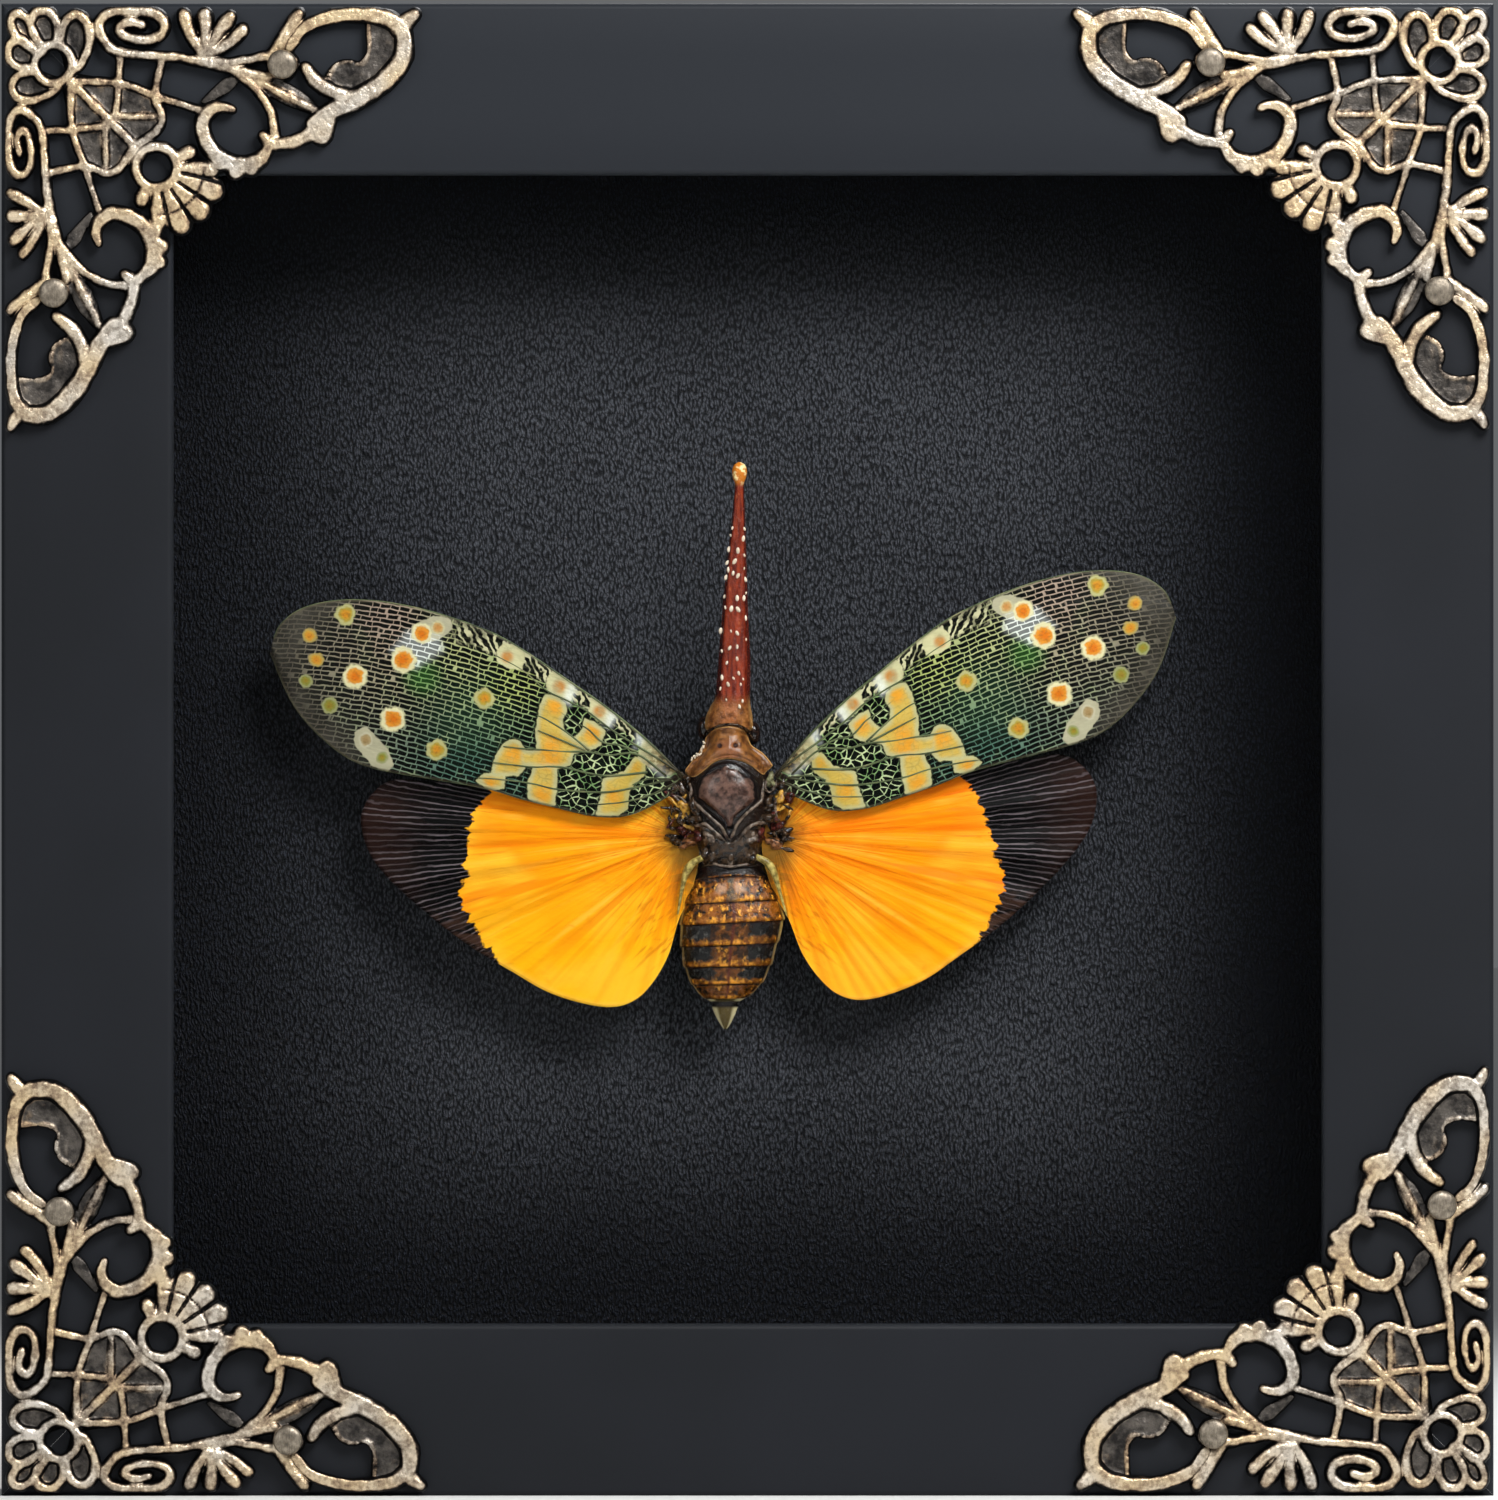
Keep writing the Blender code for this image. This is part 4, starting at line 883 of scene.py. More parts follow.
# Folds of the hindwing: place by angle from the root in degrees, height, width in degrees
FOLDS = [
    (8, .14, 3), (3, -.2, 2.6), (-3, .16, 3), (-8, -.2, 2.4), (-14, .26, 3.4), (-20, -.26, 2.6),
    (-27, .16, 4), (-33, -.16, 3), (-45, .26, 6), (-52, -.3, 3), (-57, .16, 3), (-62, -.2, 2.6),
    (-67, .14, 2.6), (-72, -.14, 2.4), (-77, .14, 2.6), (-82, -.1, 2.4),
]
# Their share of height at two of these angles, and the height of the small pleats between them
FOLD_ANGLES, FOLD_SHARES, PLEAT_HEIGHT = (-60, -25), (0.22, 0.9), 0.05


def wing_to_frame(kind, side, flat, depth):
    turn = math.radians(WING_ANGLES[kind, side])
    root = WING_ROOTS[kind]
    out, lead = flat.T
    x = root[0] + out * math.cos(turn) - lead * math.sin(turn)
    z = root[2] + out * math.sin(turn) + lead * math.cos(turn)
    return np.column_stack([BODY_X + (-x if side == "left" else x), root[1] + depth, z])


def wing_piece(kind, side, grid, depth, thickness, mat, fields):
    """A thin wing over a flat grid, with its own plane as UV and fields for its material."""
    flat = grid.reshape(-1, 2)
    front = wing_to_frame(kind, side, flat, depth).reshape(*grid.shape[:2], 3)
    node = f"{kind}wing_{side}"
    wing = make_piece(f"wing_{kind}_{side}", sheet(front, thickness), mat, node)
    set_uv(wing, np.tile(flat, (2, 1)))
    set_fields(wing, {name: np.tile(values, 2) for name, values in fields.items()})


def forewing_depth(out, across):
    reach = out / FOREWING_LEADING[-1][0]
    wave = np.sin(across * math.pi * RIPPLES + out * RIPPLE_SLANT)
    wave = wave * np.clip(reach * 3, 0, 1) * np.clip((1 - reach) * 5, 0, 1)
    return WING_DROOP * reach**2 - WING_CAMBER * np.sin(math.pi * across) * reach + RIPPLE_DEPTH * wave


def make_forewing(side, mat, vein_mat):
    low, high = (smooth_path(edge, FOREWING_STEPS) for edge in (FOREWING_TRAILING, FOREWING_LEADING))
    across = np.linspace(0.0, 1.0, FOREWING_ACROSS)[:, None]
    grid = low[:, None, :] * (1 - across) + high[:, None, :] * across
    flat, share = grid.reshape(-1, 2), np.tile(across.ravel(), len(low))
    wing_piece("fore", side, grid, forewing_depth(flat[:, 0], share), FOREWING_THICKNESS, mat, {
        "yellow": nearest(flat, YELLOW_PATCHES),
        "cream": nearest(flat, CREAM_PATCHES),
        "white": nearest(flat, WHITE_MARKS),
        "core": np.min([np.hypot(flat[:, 0] - out, flat[:, 1] - lead) / r for out, lead, r in CORES], axis=0),
        "tip": inside_distance(flat, TIP_BORDER + BEYOND_FOREWING),
        "across": share,
        "margin": np.minimum(path_distance(flat, low), path_distance(flat, high)),
    })
    tubes = []
    for path in FOREWING_VEINS:
        line = smooth_path(path, 6)
        below, above = (np.interp(line[:, 0], edge[:, 0], edge[:, 1]) for edge in (low, high))
        level = forewing_depth(line[:, 0], np.clip((line[:, 1] - below) / (above - below), 0, 1))
        points = wing_to_frame("fore", side, line, level + VEIN_SINK)
        tubes.append(tube(points, np.linspace(*VEIN_RADII, len(points))))
    for edge, place, radius in ((high, 1.0, COSTA_RADIUS), (low, 0.0, HEM_RADIUS)):
        level = forewing_depth(edge[:, 0], np.full(len(edge), place))
        points = wing_to_frame("fore", side, edge, level + HEM_SINK)[::3]
        tubes.append(tube(points, radius * np.linspace(1.0, HEM_TAPER, len(points))))
    make_piece(f"veins_fore_{side}", joined(tubes), vein_mat, None)


def make_hindwing(side, mat):
    edge, hub = smooth_path(HINDWING_EDGE, HINDWING_STEPS), np.array(HINDWING_HUB)
    share = np.linspace(INNER_RING, 1.0, HINDWING_RINGS) ** RING_POWER
    grid = hub + (edge[:, None, :] - hub) * share[:, None]
    flat, share = grid.reshape(-1, 2), np.tile(share, len(edge))
    out, lead = flat.T
    turn = np.degrees(np.arctan2(lead - hub[1], np.maximum(out - hub[0], 1e-6)))
    fold_reach = np.clip(share * 1.6, 0, 1) * np.interp(turn, FOLD_ANGLES, FOLD_SHARES)
    depth = HINDWING_DROOP * (np.hypot(out, lead) / HINDWING_REACH) ** 2
    for place, height, width in FOLDS:
        depth = depth + height * bell(turn - place, width) * fold_reach
    pleats = np.sin(turn * 1.45 + 1.2 * np.sin(turn * 0.21))
    depth = depth + PLEAT_HEIGHT * pleats * np.clip(share * 1.4 - 0.2, 0, 1)
    wing_piece("hind", side, grid, depth, HINDWING_THICKNESS, mat, {
        "black": inside_distance(flat, BLACK_TIP[side] + BEYOND_HINDWING),
        "turn": turn,
        "reach": np.hypot(out, lead - hub[1]),
        "margin": 1.0 - share,
    })


# Body sections: z, middle x, half width, front y, back y
BODY_SECTIONS = [
    (88.05, -.68, .12, -2.9, -2.7), (87.95, -.68, .36, -3.15, -2.45), (87.6, -.68, .58, -3.35, -2.2),
    (87.15, -.68, .64, -3.4, -2.1), (86.6, -.69, .54, -3.25, -2.2), (86.0, -.7, .4, -3.05, -2.25),
    (83.0, -.78, .56, -2.85, -1.75), (80.0, -.9, .77, -2.75, -1.25), (75.7, -1.05, 1.04, -2.65, -.6),
    (71.5, -1.12, 1.3, -2.6, 0.0), (68.3, -1.25, 1.45, -2.6, .5), (67.2, -1.45, 1.72, -2.65, 1.0),
    (66.3, -1.57, 2.0, -2.75, 1.4), (65.3, -1.6, 2.05, -2.65, 1.6), (64.75, -1.6, 1.7, -2.2, 1.7),
    (63.6, -1.6, 2.05, -2.65, 2.1), (62.4, -1.62, 2.95, -2.95, 2.4), (61.2, -1.65, 3.5, -3.05, 2.7),
    (59.5, -1.65, 3.6, -3.2, 2.9), (57.6, -1.6, 3.4, -3.0, 2.9), (56.0, -1.57, 3.1, -2.6, 2.9),
    (54.6, -1.5, 2.85, -2.1, 2.8), (53.6, -1.48, 2.95, -1.75, 2.8), (52.6, -1.45, 3.5, -1.95, 2.8),
    (50.6, -1.38, 4.2, -2.45, 2.9), (48.7, -1.33, 4.5, -2.65, 2.9), (46.8, -1.55, 4.18, -2.5, 2.75),
    (45.0, -1.7, 3.75, -2.2, 2.5), (43.5, -1.76, 3.05, -1.75, 2.1), (42.4, -1.85, 2.05, -1.3, 1.6),
    (42.0, -1.93, 1.35, -1.0, 1.2), (40.8, -1.92, .85, -.6, .8), (40.0, -1.9, .42, -.25, .45),
    (39.6, -1.9, .12, -.05, .2),
]
# The power of its rounded section, which is 2 for an ellipse
BODY_FULLNESS, BODY_SIDES = 2.3, 72
# Heights of the abdomen's plates, from the waist down
TERGITES = [53.55, 52.7, 50.5, 48.7, 46.8, 44.95, 43.45, 42.2]
# Rings along the front part, each plate of the abdomen and the tail
FRONT_RINGS, TERGITE_RINGS, TAIL_RINGS, WAIST_GAP = 170, 11, 16, 0.1
# Each plate widens by this share towards its rim, and turns in from a share of its length on
RIM_SWELL, RIM_TURN, RIM_START = 0.03, 0.2, 0.9
# The plates tilt to one side, the rear ones less. The sides of the first two hang down.
PLATE_TILT, REAR_PLATES, REAR_TILT, SIDE_DROOPS = 0.05, 5, 0.4, (0.45, 0.3)
# Shares of the radius: eight ridges along the snout, between these heights, and a keel on the abdomen
SNOUT_RIDGE, SNOUT_LOW, SNOUT_HIGH = 0.035, 67.5, 86.0
KEEL, KEEL_WIDTH = 0.05, 0.07


def body_section(z):
    """Middle x, half width, front y and back y of the body at a height."""
    table = smooth_path(BODY_SECTIONS[::-1], 6).T
    return [np.interp(z, table[0], row) for row in table[1:]]


def body_front(x, z, limit=0.93):
    """y of the body's front surface; it is carried on level past limit of the half width."""
    middle, half, front, back = body_section(z)
    across = np.clip(np.abs((x - middle) / half), 0.0, limit)
    return (front + back) / 2 - (back - front) / 2 * (1 - across**BODY_FULLNESS) ** (1 / BODY_FULLNESS)


def body_stations():
    """(z, tergite number, share of its length) of every ring, with a pair at each tergite's rim."""
    stations = [(z, 0, 0.0) for z in np.linspace(BODY_SECTIONS[0][0], TERGITES[0] + WAIST_GAP, FRONT_RINGS)]
    for number, (high, low) in enumerate(zip(TERGITES, TERGITES[1:]), 1):
        stations += [(high + (low - high) * t, number, t) for t in np.linspace(0.0, 1.0, TERGITE_RINGS)]
    tail = np.linspace(TERGITES[-1], BODY_SECTIONS[-1][0], TAIL_RINGS)
    return stations + [(z, len(TERGITES), 0.5) for z in tail]


def make_body(mat):
    turns = around(BODY_SIDES)
    c, s = (np.sign(f(turns)) * np.abs(f(turns)) ** (2 / BODY_FULLNESS) for f in (np.cos, np.sin))
    rings, fields = [], {"side": [], "tergite": [], "phase": []}
    for z, number, t in body_stations():
        middle, half, front, back = body_section(z)
        swell, lift = 1.0, 0.0
        if 1 <= number < len(TERGITES):
            swell = 1.0 + RIM_SWELL * (t**2 * 1.6 - 0.7) - RIM_TURN * max(0.0, t - RIM_START)
            droop = {1: SIDE_DROOPS[0], 2: SIDE_DROOPS[1] * (1 - t)}.get(number, 0)
            lift = PLATE_TILT * half * c * (1 if number < REAR_PLATES else REAR_TILT) - c**2 * droop
        ridged = np.clip((z - SNOUT_LOW) / 2, 0, 1) * np.clip((SNOUT_HIGH - z) / 2, 0, 1)
        ridges = 1.0 + SNOUT_RIDGE * np.cos(turns * 8) * ridged
        keel = 1.0 + KEEL * bell(c, KEEL_WIDTH) * (2 <= number <= 6)
        x = middle + half * swell * c * ridges
        y = (front + back) / 2 + (back - front) / 2 * swell * s * ridges * np.where(s < 0, keel, 1.0)
        rings.append(np.column_stack([x, y, z + np.zeros_like(x) + lift]))
        for values, value in zip(fields.values(), (c, number, t)):
            values.append(np.full(BODY_SIDES, value))
    body = insect_piece("specimen_body", skin(rings), mat)
    set_fields(body, {name: np.concatenate(values) for name, values in fields.items()})


# A plate lies this far in front of the body, and its two outer rings go down into it
PLATE_LIFT, PLATE_SINKS = 0.06, (0.5, 0.1)


def make_plate(name, outline_px, mat, rise, soft, rings, center_px, relief=None):
    """A domed shield on the body, with its outline as in the photograph. It is rise high, and reaches
    that over soft millimetres from its rim."""
    pts = front_path(outline_px, 5, closed=True)
    center = np.array(front_mm(*center_px))
    shares = np.concatenate([[1.0, 1.0], 1.0 - np.linspace(0.0, 1.0, rings) ** 1.4 * 0.97])
    flat = np.vstack([center + (pts - center) * share for share in shares])
    inner = path_distance(flat, np.vstack([pts, pts[:1]]))
    y = body_front(flat[:, 0], flat[:, 1]) - rise * (1 - np.exp(-inner / soft)) - PLATE_LIFT
    if relief:
        y = y + relief(flat[:, 0], flat[:, 1], inner)
    count = len(pts)
    y[:count] += PLATE_SINKS[0]
    y[count:2 * count] += PLATE_SINKS[1]
    points = np.column_stack([flat[:, 0], y, flat[:, 1]])
    ob = insect_piece(name, skin(np.split(points, len(shares))), mat)
    set_fields(ob, {"inner": inner})


def pit(x, z, spot_px, radius, depth):
    px, pz = front_mm(*spot_px)
    return depth * bell(np.hypot(x - px, z - pz), radius)


def on_body(px, py, sink=0.0):
    x, z = front_mm(px, py)
    return (x, float(body_front(x, z)) + sink, z)


def body_tube(path_px, sink, radii, steps=6):
    """A tube on the body's front. radii is a function of the number of its points."""
    line = front_path(path_px, steps)
    points = np.column_stack([line[:, 0], body_front(line[:, 0], line[:, 1]) + sink, line[:, 1]])
    return tube(points, radii(len(points)))


# Pitch of the lumps on blobs
LUMP_PITCH = 0.45
PRONOTUM_PX = [
    (708.3, 733.7), (715.7, 728.4), (723.7, 726.4), (733.1, 726.4), (741.2, 729), (745.8, 732.4),
    (749.2, 740.4), (752.5, 745.8), (763.9, 753.8), (772, 763.9), (772.2, 766.6), (766.6, 771.9),
    (763.3, 774.9), (757.2, 770.6), (747.9, 763.9), (737.1, 759.9), (729.1, 758.8), (721.1, 759.9),
    (713, 763.2), (705, 769.9), (697, 775.9), (691.6, 777.3), (687.6, 775.3), (684.9, 770.6),
    (688.9, 764.5), (692.9, 759.2), (697, 755.2), (699.6, 749.8), (703.7, 745.8), (705, 739.1),
]
PRONOTUM_CENTER_PX = (728.6, 746.5)
PRONOTUM_PITS_PX = [(719.7, 745.8), (735.6, 745.3)]
MESONOTUM_PX = [
    (726.4, 761.2), (737.1, 763.2), (746.5, 769.2), (753.9, 775.3), (758.6, 784.6), (760.6, 794),
    (761.5, 800.7), (754.5, 807.4), (747.9, 814.1), (741.2, 819.5), (737.1, 826.2), (733.1, 834.2),
    (729.8, 838.5), (726.4, 835.5), (722.4, 827.5), (717, 820.8), (709, 814.1), (699.6, 806),
    (694.3, 799.4), (693.6, 794), (694.3, 784.6), (698.3, 776.6), (705, 770.6), (713, 764.5),
]
MESONOTUM_CENTER_PX = (728.4, 797.0)
SCUTELLUM_PIT_PX = (729.8, 829.5)
METANOTUM_PX = [
    (693, 822), (703, 826), (712, 829), (722, 838), (730, 843), (738, 838), (746, 830), (756, 824),
    (765, 822), (762, 836), (758, 850), (754.5, 864.5), (742, 865.5), (730.4, 866.2), (718, 865.5),
    (704, 866), (699, 852), (695, 838),
]
METANOTUM_CENTER_PX = (730, 855)
# The shields' rise, over how many millimetres from the rim, and their rings
COLLAR_DOME, BACK_DOME, REAR_DOME = (0.55, 0.35, 16), (0.62, 0.5, 16), (0.3, 0.3, 10)
# Pits: radius and depth. The collar's midline: height and half width. Grooves inside the rims: depth,
# distance in and half width.
COLLAR_PIT, BACK_PIT, COLLAR_LINE = (0.22, 0.22), (0.26, 0.35), (0.1, 0.2)
COLLAR_GROOVE, BACK_GROOVE = (0.1, 0.3, 0.1), (0.13, 0.5, 0.14)
# Pale ridges between the shields: half width in mm, then the path in the photograph
RIDGES = [
    (0.15, [(681.6, 771.9), (686.9, 780.6), (691, 790), (690.3, 798), (697, 804.7), (705, 812.8),
     (713, 820.1), (721.1, 827.5), (725.7, 835.5), (729.4, 840.2)]),
    (0.15, [(764, 779.5), (762.5, 792.5), (760.6, 801.4), (750.5, 810.1), (743.2, 816.8), (737.1, 824.8),
     (733.1, 834.2), (729.8, 839.9)]),
    (0.17, [(688.9, 812.8), (691.6, 823.5), (699.6, 825.5), (705, 824.1), (710.4, 828.8), (718.4, 835.5),
     (725.5, 841.5)]),
    (0.17, [(773.3, 815.4), (767.9, 822.8), (757.2, 823.5), (749.2, 827.5), (743.8, 832.8),
     (739.1, 839.5)]),
    (0.12, [(663.5, 794), (674.2, 796.7), (682.2, 806), (687.6, 818.1), (693, 826.2)]),
    (0.12, [(674.2, 794), (683.6, 800.7), (688.9, 812.8)]),
    (0.12, [(792, 776.6), (796.1, 786), (788, 791.3), (778.7, 798), (775.3, 808.7), (778.7, 822.1)]),
    (0.11, [(698.3, 848), (701, 857), (703.7, 864.5)]),
    (0.11, [(757.2, 848), (756.5, 857), (754.5, 864.5)]),
    (0.11, [(725.7, 853), (730.4, 865.4), (735.1, 853)]),
    (0.12, [(704, 866.5), (712, 864.3), (720, 865.8), (730.4, 867), (740, 865.8), (748, 865),
     (756, 866.5)]),
    (0.11, [(777, 770), (774, 776), (767, 781), (765.3, 788), (769.5, 792.5), (775, 787), (777.6, 777)]),
]
NECK_SEAM_PX = [
    (706, 735), (709, 731), (716, 726.8), (726, 724.3), (737, 725), (744.5, 728.3), (750, 733),
    (752, 738),
]
# How far the middles of the tubes lie in front of the body's surface, and the seam's half width
RIDGE_OUT, SEAM_OUT, SEAM_RADIUS = 0.26, 0.16, 0.11
# Over its last points a ridge narrows to this share
RIDGE_END, RIDGE_TIP = 5, 0.25
# Sclerites of the wing hinges: middle, half sizes in the photograph's pixels, tilt, kind
SCLERITES = [
    (687.6, 784, 4.5, 9, 10, "dark"), (677.6, 788, 8, 6, -20, "dark"), (670.5, 794.5, 8, 3.6, -15, "red"),
    (684.9, 809.5, 4.5, 10, 25, "amber"), (695.8, 808, 6, 9, 20, "dark"), (697, 820, 9, 5, -10, "dark"),
    (683.2, 831, 8, 5, -25, "red"), (677, 841, 7, 3, -20, "dark"), (687, 843, 8, 5, 20, "pink"),
    (770.3, 781, 5, 8, 10, "olive"), (783, 780.5, 9, 10, 0, "dark"), (779.7, 797, 5, 7, -10, "amber"),
    (789.4, 795, 6, 6, 0, "red"), (768.5, 806, 6, 8, -20, "dark"), (764, 819, 9, 5, 10, "dark"),
    (778, 826, 8, 4, 20, "red"), (784, 831, 7, 3, 15, "dark"), (775, 843, 8, 5, -20, "pink"),
    (786, 839, 6, 3, 20, "dark"), (709, 838, 7, 5.5, -30, "ridge"), (751, 838, 7, 5.5, 30, "ridge"),
    (709.5, 854, 7, 9, -10, "dark"), (750.5, 854, 7, 9, 10, "dark"), (730.4, 857, 4, 5.5, 0, "dark"),
    (699, 836, 5, 7, 20, "red"), (760.5, 836, 5, 7, -20, "red"),
]
# Pale membranes from the last thorax shield down the abdomen's edges
MEMBRANE_PATHS_PX = [
    [(702, 858), (692, 864), (686, 873), (682.5, 886), (679.5, 903), (677.5, 915)],
    [(756, 857), (767, 863), (774, 873), (778, 886), (783, 903), (787, 917)],
]
MEMBRANE_RADIUS, MEMBRANE_Y = 0.36, (-1.9, -1.3)
# Crumpled bits of the wing hinges: how many on each side, their middles and spread, in the same pixels
CRUMB_COUNT, CRUMB_MIDDLES_PX, CRUMB_SPREAD_PX = 26, (679.0, 780.0), 11.0
CRUMB_TOP_PX, CRUMB_BOTTOM_PX = 782.0, 850.0
# They lie on the body, or this far forward beside it
SCLERITE_Y, CRUMB_Y, SCLERITE_DEPTH = -2.3, -2.2, 0.5
SCLERITE_GRID, SCLERITE_LUMPS = (11, 18), 0.9
# Ranges of a crumb's half width, half height and rise, and its half depth
CRUMB_WIDTHS, CRUMB_HEIGHTS, CRUMB_RISES, CRUMB_DEPTH = (0.1, 0.22), (0.3, 0.75), (0.0, 0.25), 0.2
CRUMB_KINDS = ["dark"] * 4 + ["amber", "red"]
# White flecks along the snout, and small heaps of them at the left end of the collar
SNOUT_WAX_PX = [
    (737.9, 549.9), (734.6, 560.7), (733, 572.6), (737.9, 575.1), (737.1, 597.5), (743.7, 597.5),
    (725.5, 607.1), (731.3, 608.3), (737.9, 608.8), (731, 630.7), (737.1, 632.7), (729.6, 647.6),
    (737.1, 646.4), (722.2, 650.9), (726.7, 662.5), (737.1, 658.5), (722.2, 677.4), (733.5, 677.9),
    (738.8, 673), (720.5, 688.2), (728, 684.1), (740.7, 684.1), (732.5, 527), (730.8, 534.8),
    (728.8, 548.6), (727.2, 561.9), (728.5, 569.3), (725.8, 576.8), (724.3, 595.9), (720.5, 630.3),
    (744.1, 527.9), (743.2, 537.8), (744.2, 554.4), (744.1, 567.7), (744.9, 578.5), (745.9, 592.5),
    (745.4, 617.4), (745.9, 639), (743.2, 678.8), (739.5, 706.3), (726.2, 699.6), (742.5, 700.9),
]
COLLAR_WAX_PX = [
    (693, 759), (694.6, 757.6), (696.4, 755.8), (698.2, 753.8), (699.8, 751.4), (701.6, 749),
    (703.2, 746.2), (704.4, 743),
]
# Sizes and depth of the snout's flecks. In a heap: how many, their half sizes, spread and place in y.
FLECK_SIZES, FLECK_DEPTH = (0.09, 0.24), 0.12
HEAP_COUNT, HEAP_FLECK, HEAP_SPREAD, HEAP_OUT = 3, (0.07, 0.08, 0.12), 0.1, 0.35
EYES = [(-3.72, -.2, 65.35), (.5, -.2, 64.9)]
EYE_RADII = (.62, .8, 1.0)
# Legs: out from the body's middle, y, z
LEG_PATHS = {
    "front": [(2.1, 3.35, 61.0), (1.9, 4.1, 62.6), (0.9, 4.25, 66.2)],
    "middle": [(2.3, 3.35, 58.6), (5.0, 4.0, 57.2), (8.5, 4.4, 54.8)],
    "hind": [(2.1, 3.5, 56.2), (2.3, 3.9, 53.2), (2.9, 4.4, 47.5)],
}
# A leg's radius at its root, what it loses to its foot, and how far along its knee is
LEG_RADIUS, LEG_TAPER, KNEE = 0.3, 0.17, 0.5


def make_shields(mats):
    def groove(inner, depth, place, width):
        return depth * bell(inner - place, width)

    def collar(x, z, inner):
        pits = sum(pit(x, z, spot, *COLLAR_PIT) for spot in PRONOTUM_PITS_PX)
        height, width = COLLAR_LINE
        return pits - height * bell(x - BODY_X, width) + groove(inner, *COLLAR_GROOVE)

    def back(x, z, inner):
        return groove(inner, *BACK_GROOVE) + pit(x, z, SCUTELLUM_PIT_PX, *BACK_PIT)

    make_plate("shield_pronotum", PRONOTUM_PX, mats["collar"], *COLLAR_DOME, PRONOTUM_CENTER_PX, collar)
    make_plate("shield_mesonotum", MESONOTUM_PX, mats["back"], *BACK_DOME, MESONOTUM_CENTER_PX, back)
    make_plate("shield_metanotum", METANOTUM_PX, mats["dark"], *REAR_DOME, METANOTUM_CENTER_PX)

    def ridge(path, width):
        return body_tube(path, -RIDGE_OUT, lambda count: width * np.clip(
            np.minimum(np.arange(count), np.arange(count)[::-1]) / RIDGE_END, RIDGE_TIP, 1.0))

    insect_piece("thorax_ridges", joined([ridge(path, width) for width, path in RIDGES]), mats["ridge"])
    seam = body_tube(NECK_SEAM_PX, -SEAM_OUT, lambda count: np.full(count, SEAM_RADIUS))
    insect_piece("neck_seam", seam, mats["dark"])


def make_hinges(mats):
    kinds = {}

    def add(px, py, front, rise, size, tilt, kind):
        x, z = front_mm(px, py)
        y = max(float(body_front(x, z)), front) - rise
        kinds.setdefault(kind, []).append(blob((x, y, z), size, tilt, *SCLERITE_GRID, SCLERITE_LUMPS))

    for px, py, wide, tall, tilt, kind in SCLERITES:
        add(px, py, SCLERITE_Y, 0.0, (wide * PHOTO_MM, SCLERITE_DEPTH, tall * PHOTO_MM), tilt, kind)
    draw = np.random.default_rng(7)
    for middle in CRUMB_MIDDLES_PX:
        for _ in range(CRUMB_COUNT):
            px = middle + draw.uniform(-1.0, 1.0) * CRUMB_SPREAD_PX
            py = draw.uniform(CRUMB_TOP_PX, CRUMB_BOTTOM_PX)
            rise = draw.uniform(*CRUMB_RISES)
            size = (draw.uniform(*CRUMB_WIDTHS), CRUMB_DEPTH, draw.uniform(*CRUMB_HEIGHTS))
            kind = str(draw.choice(CRUMB_KINDS))
            add(px, py, CRUMB_Y, rise, size, draw.uniform(-90, 90), kind)
    for kind, blobs in kinds.items():
        insect_piece(f"sclerites_{kind}", joined(blobs), mats[kind])
    tubes = []
    for path in MEMBRANE_PATHS_PX:
        line = front_path(path)
        share = np.linspace(0, 1, len(line))
        points = np.column_stack([line[:, 0], np.interp(share, (0, 1), MEMBRANE_Y), line[:, 1]])
        radii = MEMBRANE_RADIUS * np.interp(share, (0, 0.3, 0.7, 1), (0.7, 1.0, 0.4, 0.2))
        tubes.append(tube(points, radii, 12))
    insect_piece("pale_membranes", joined(tubes), mats["pale"])


def make_details(mats):
    draw = np.random.default_rng(4)
    wax = []
    for px, py in SNOUT_WAX_PX:
        size = draw.uniform(*FLECK_SIZES)
        radii = (size * 0.75, FLECK_DEPTH, size * 1.3)
        wax.append(blob(on_body(px, py), radii, draw.uniform(-40, 40), 6, 9))
    for px, py in COLLAR_WAX_PX:
        for _ in range(HEAP_COUNT):
            place = on_body(px, py, -HEAP_OUT) + draw.normal(0, HEAP_SPREAD, 3) * (1.0, 0.5, 1.0)
            wax.append(blob(place, HEAP_FLECK, draw.uniform(-60, 60), 6, 9))
    insect_piece("wax_flecks", joined(wax), mats["wax"])
    insect_piece("eyes", joined([blob(spot, EYE_RADII, 0.0, 16, 24) for spot in EYES]), mats["eye"])
    for pair, path in LEG_PATHS.items():
        for side, sign in (("left", -1), ("right", 1)):
            points = smooth_path([(BODY_X + sign * out, y, z) for out, y, z in path], 10)
            share = np.linspace(0, 1, len(points))
            knee = 0.05 * bell(share - KNEE, 0.05) - 0.06 * bell(share - KNEE + 0.08, 0.05)
            radii = LEG_RADIUS - LEG_TAPER * share + knee
            leg = tube(points, radii, 12)
            make_piece(f"{pair}_leg_{side}", leg, mats["dark"], f"leg_{pair}_{side}")


# Materials of the specimen

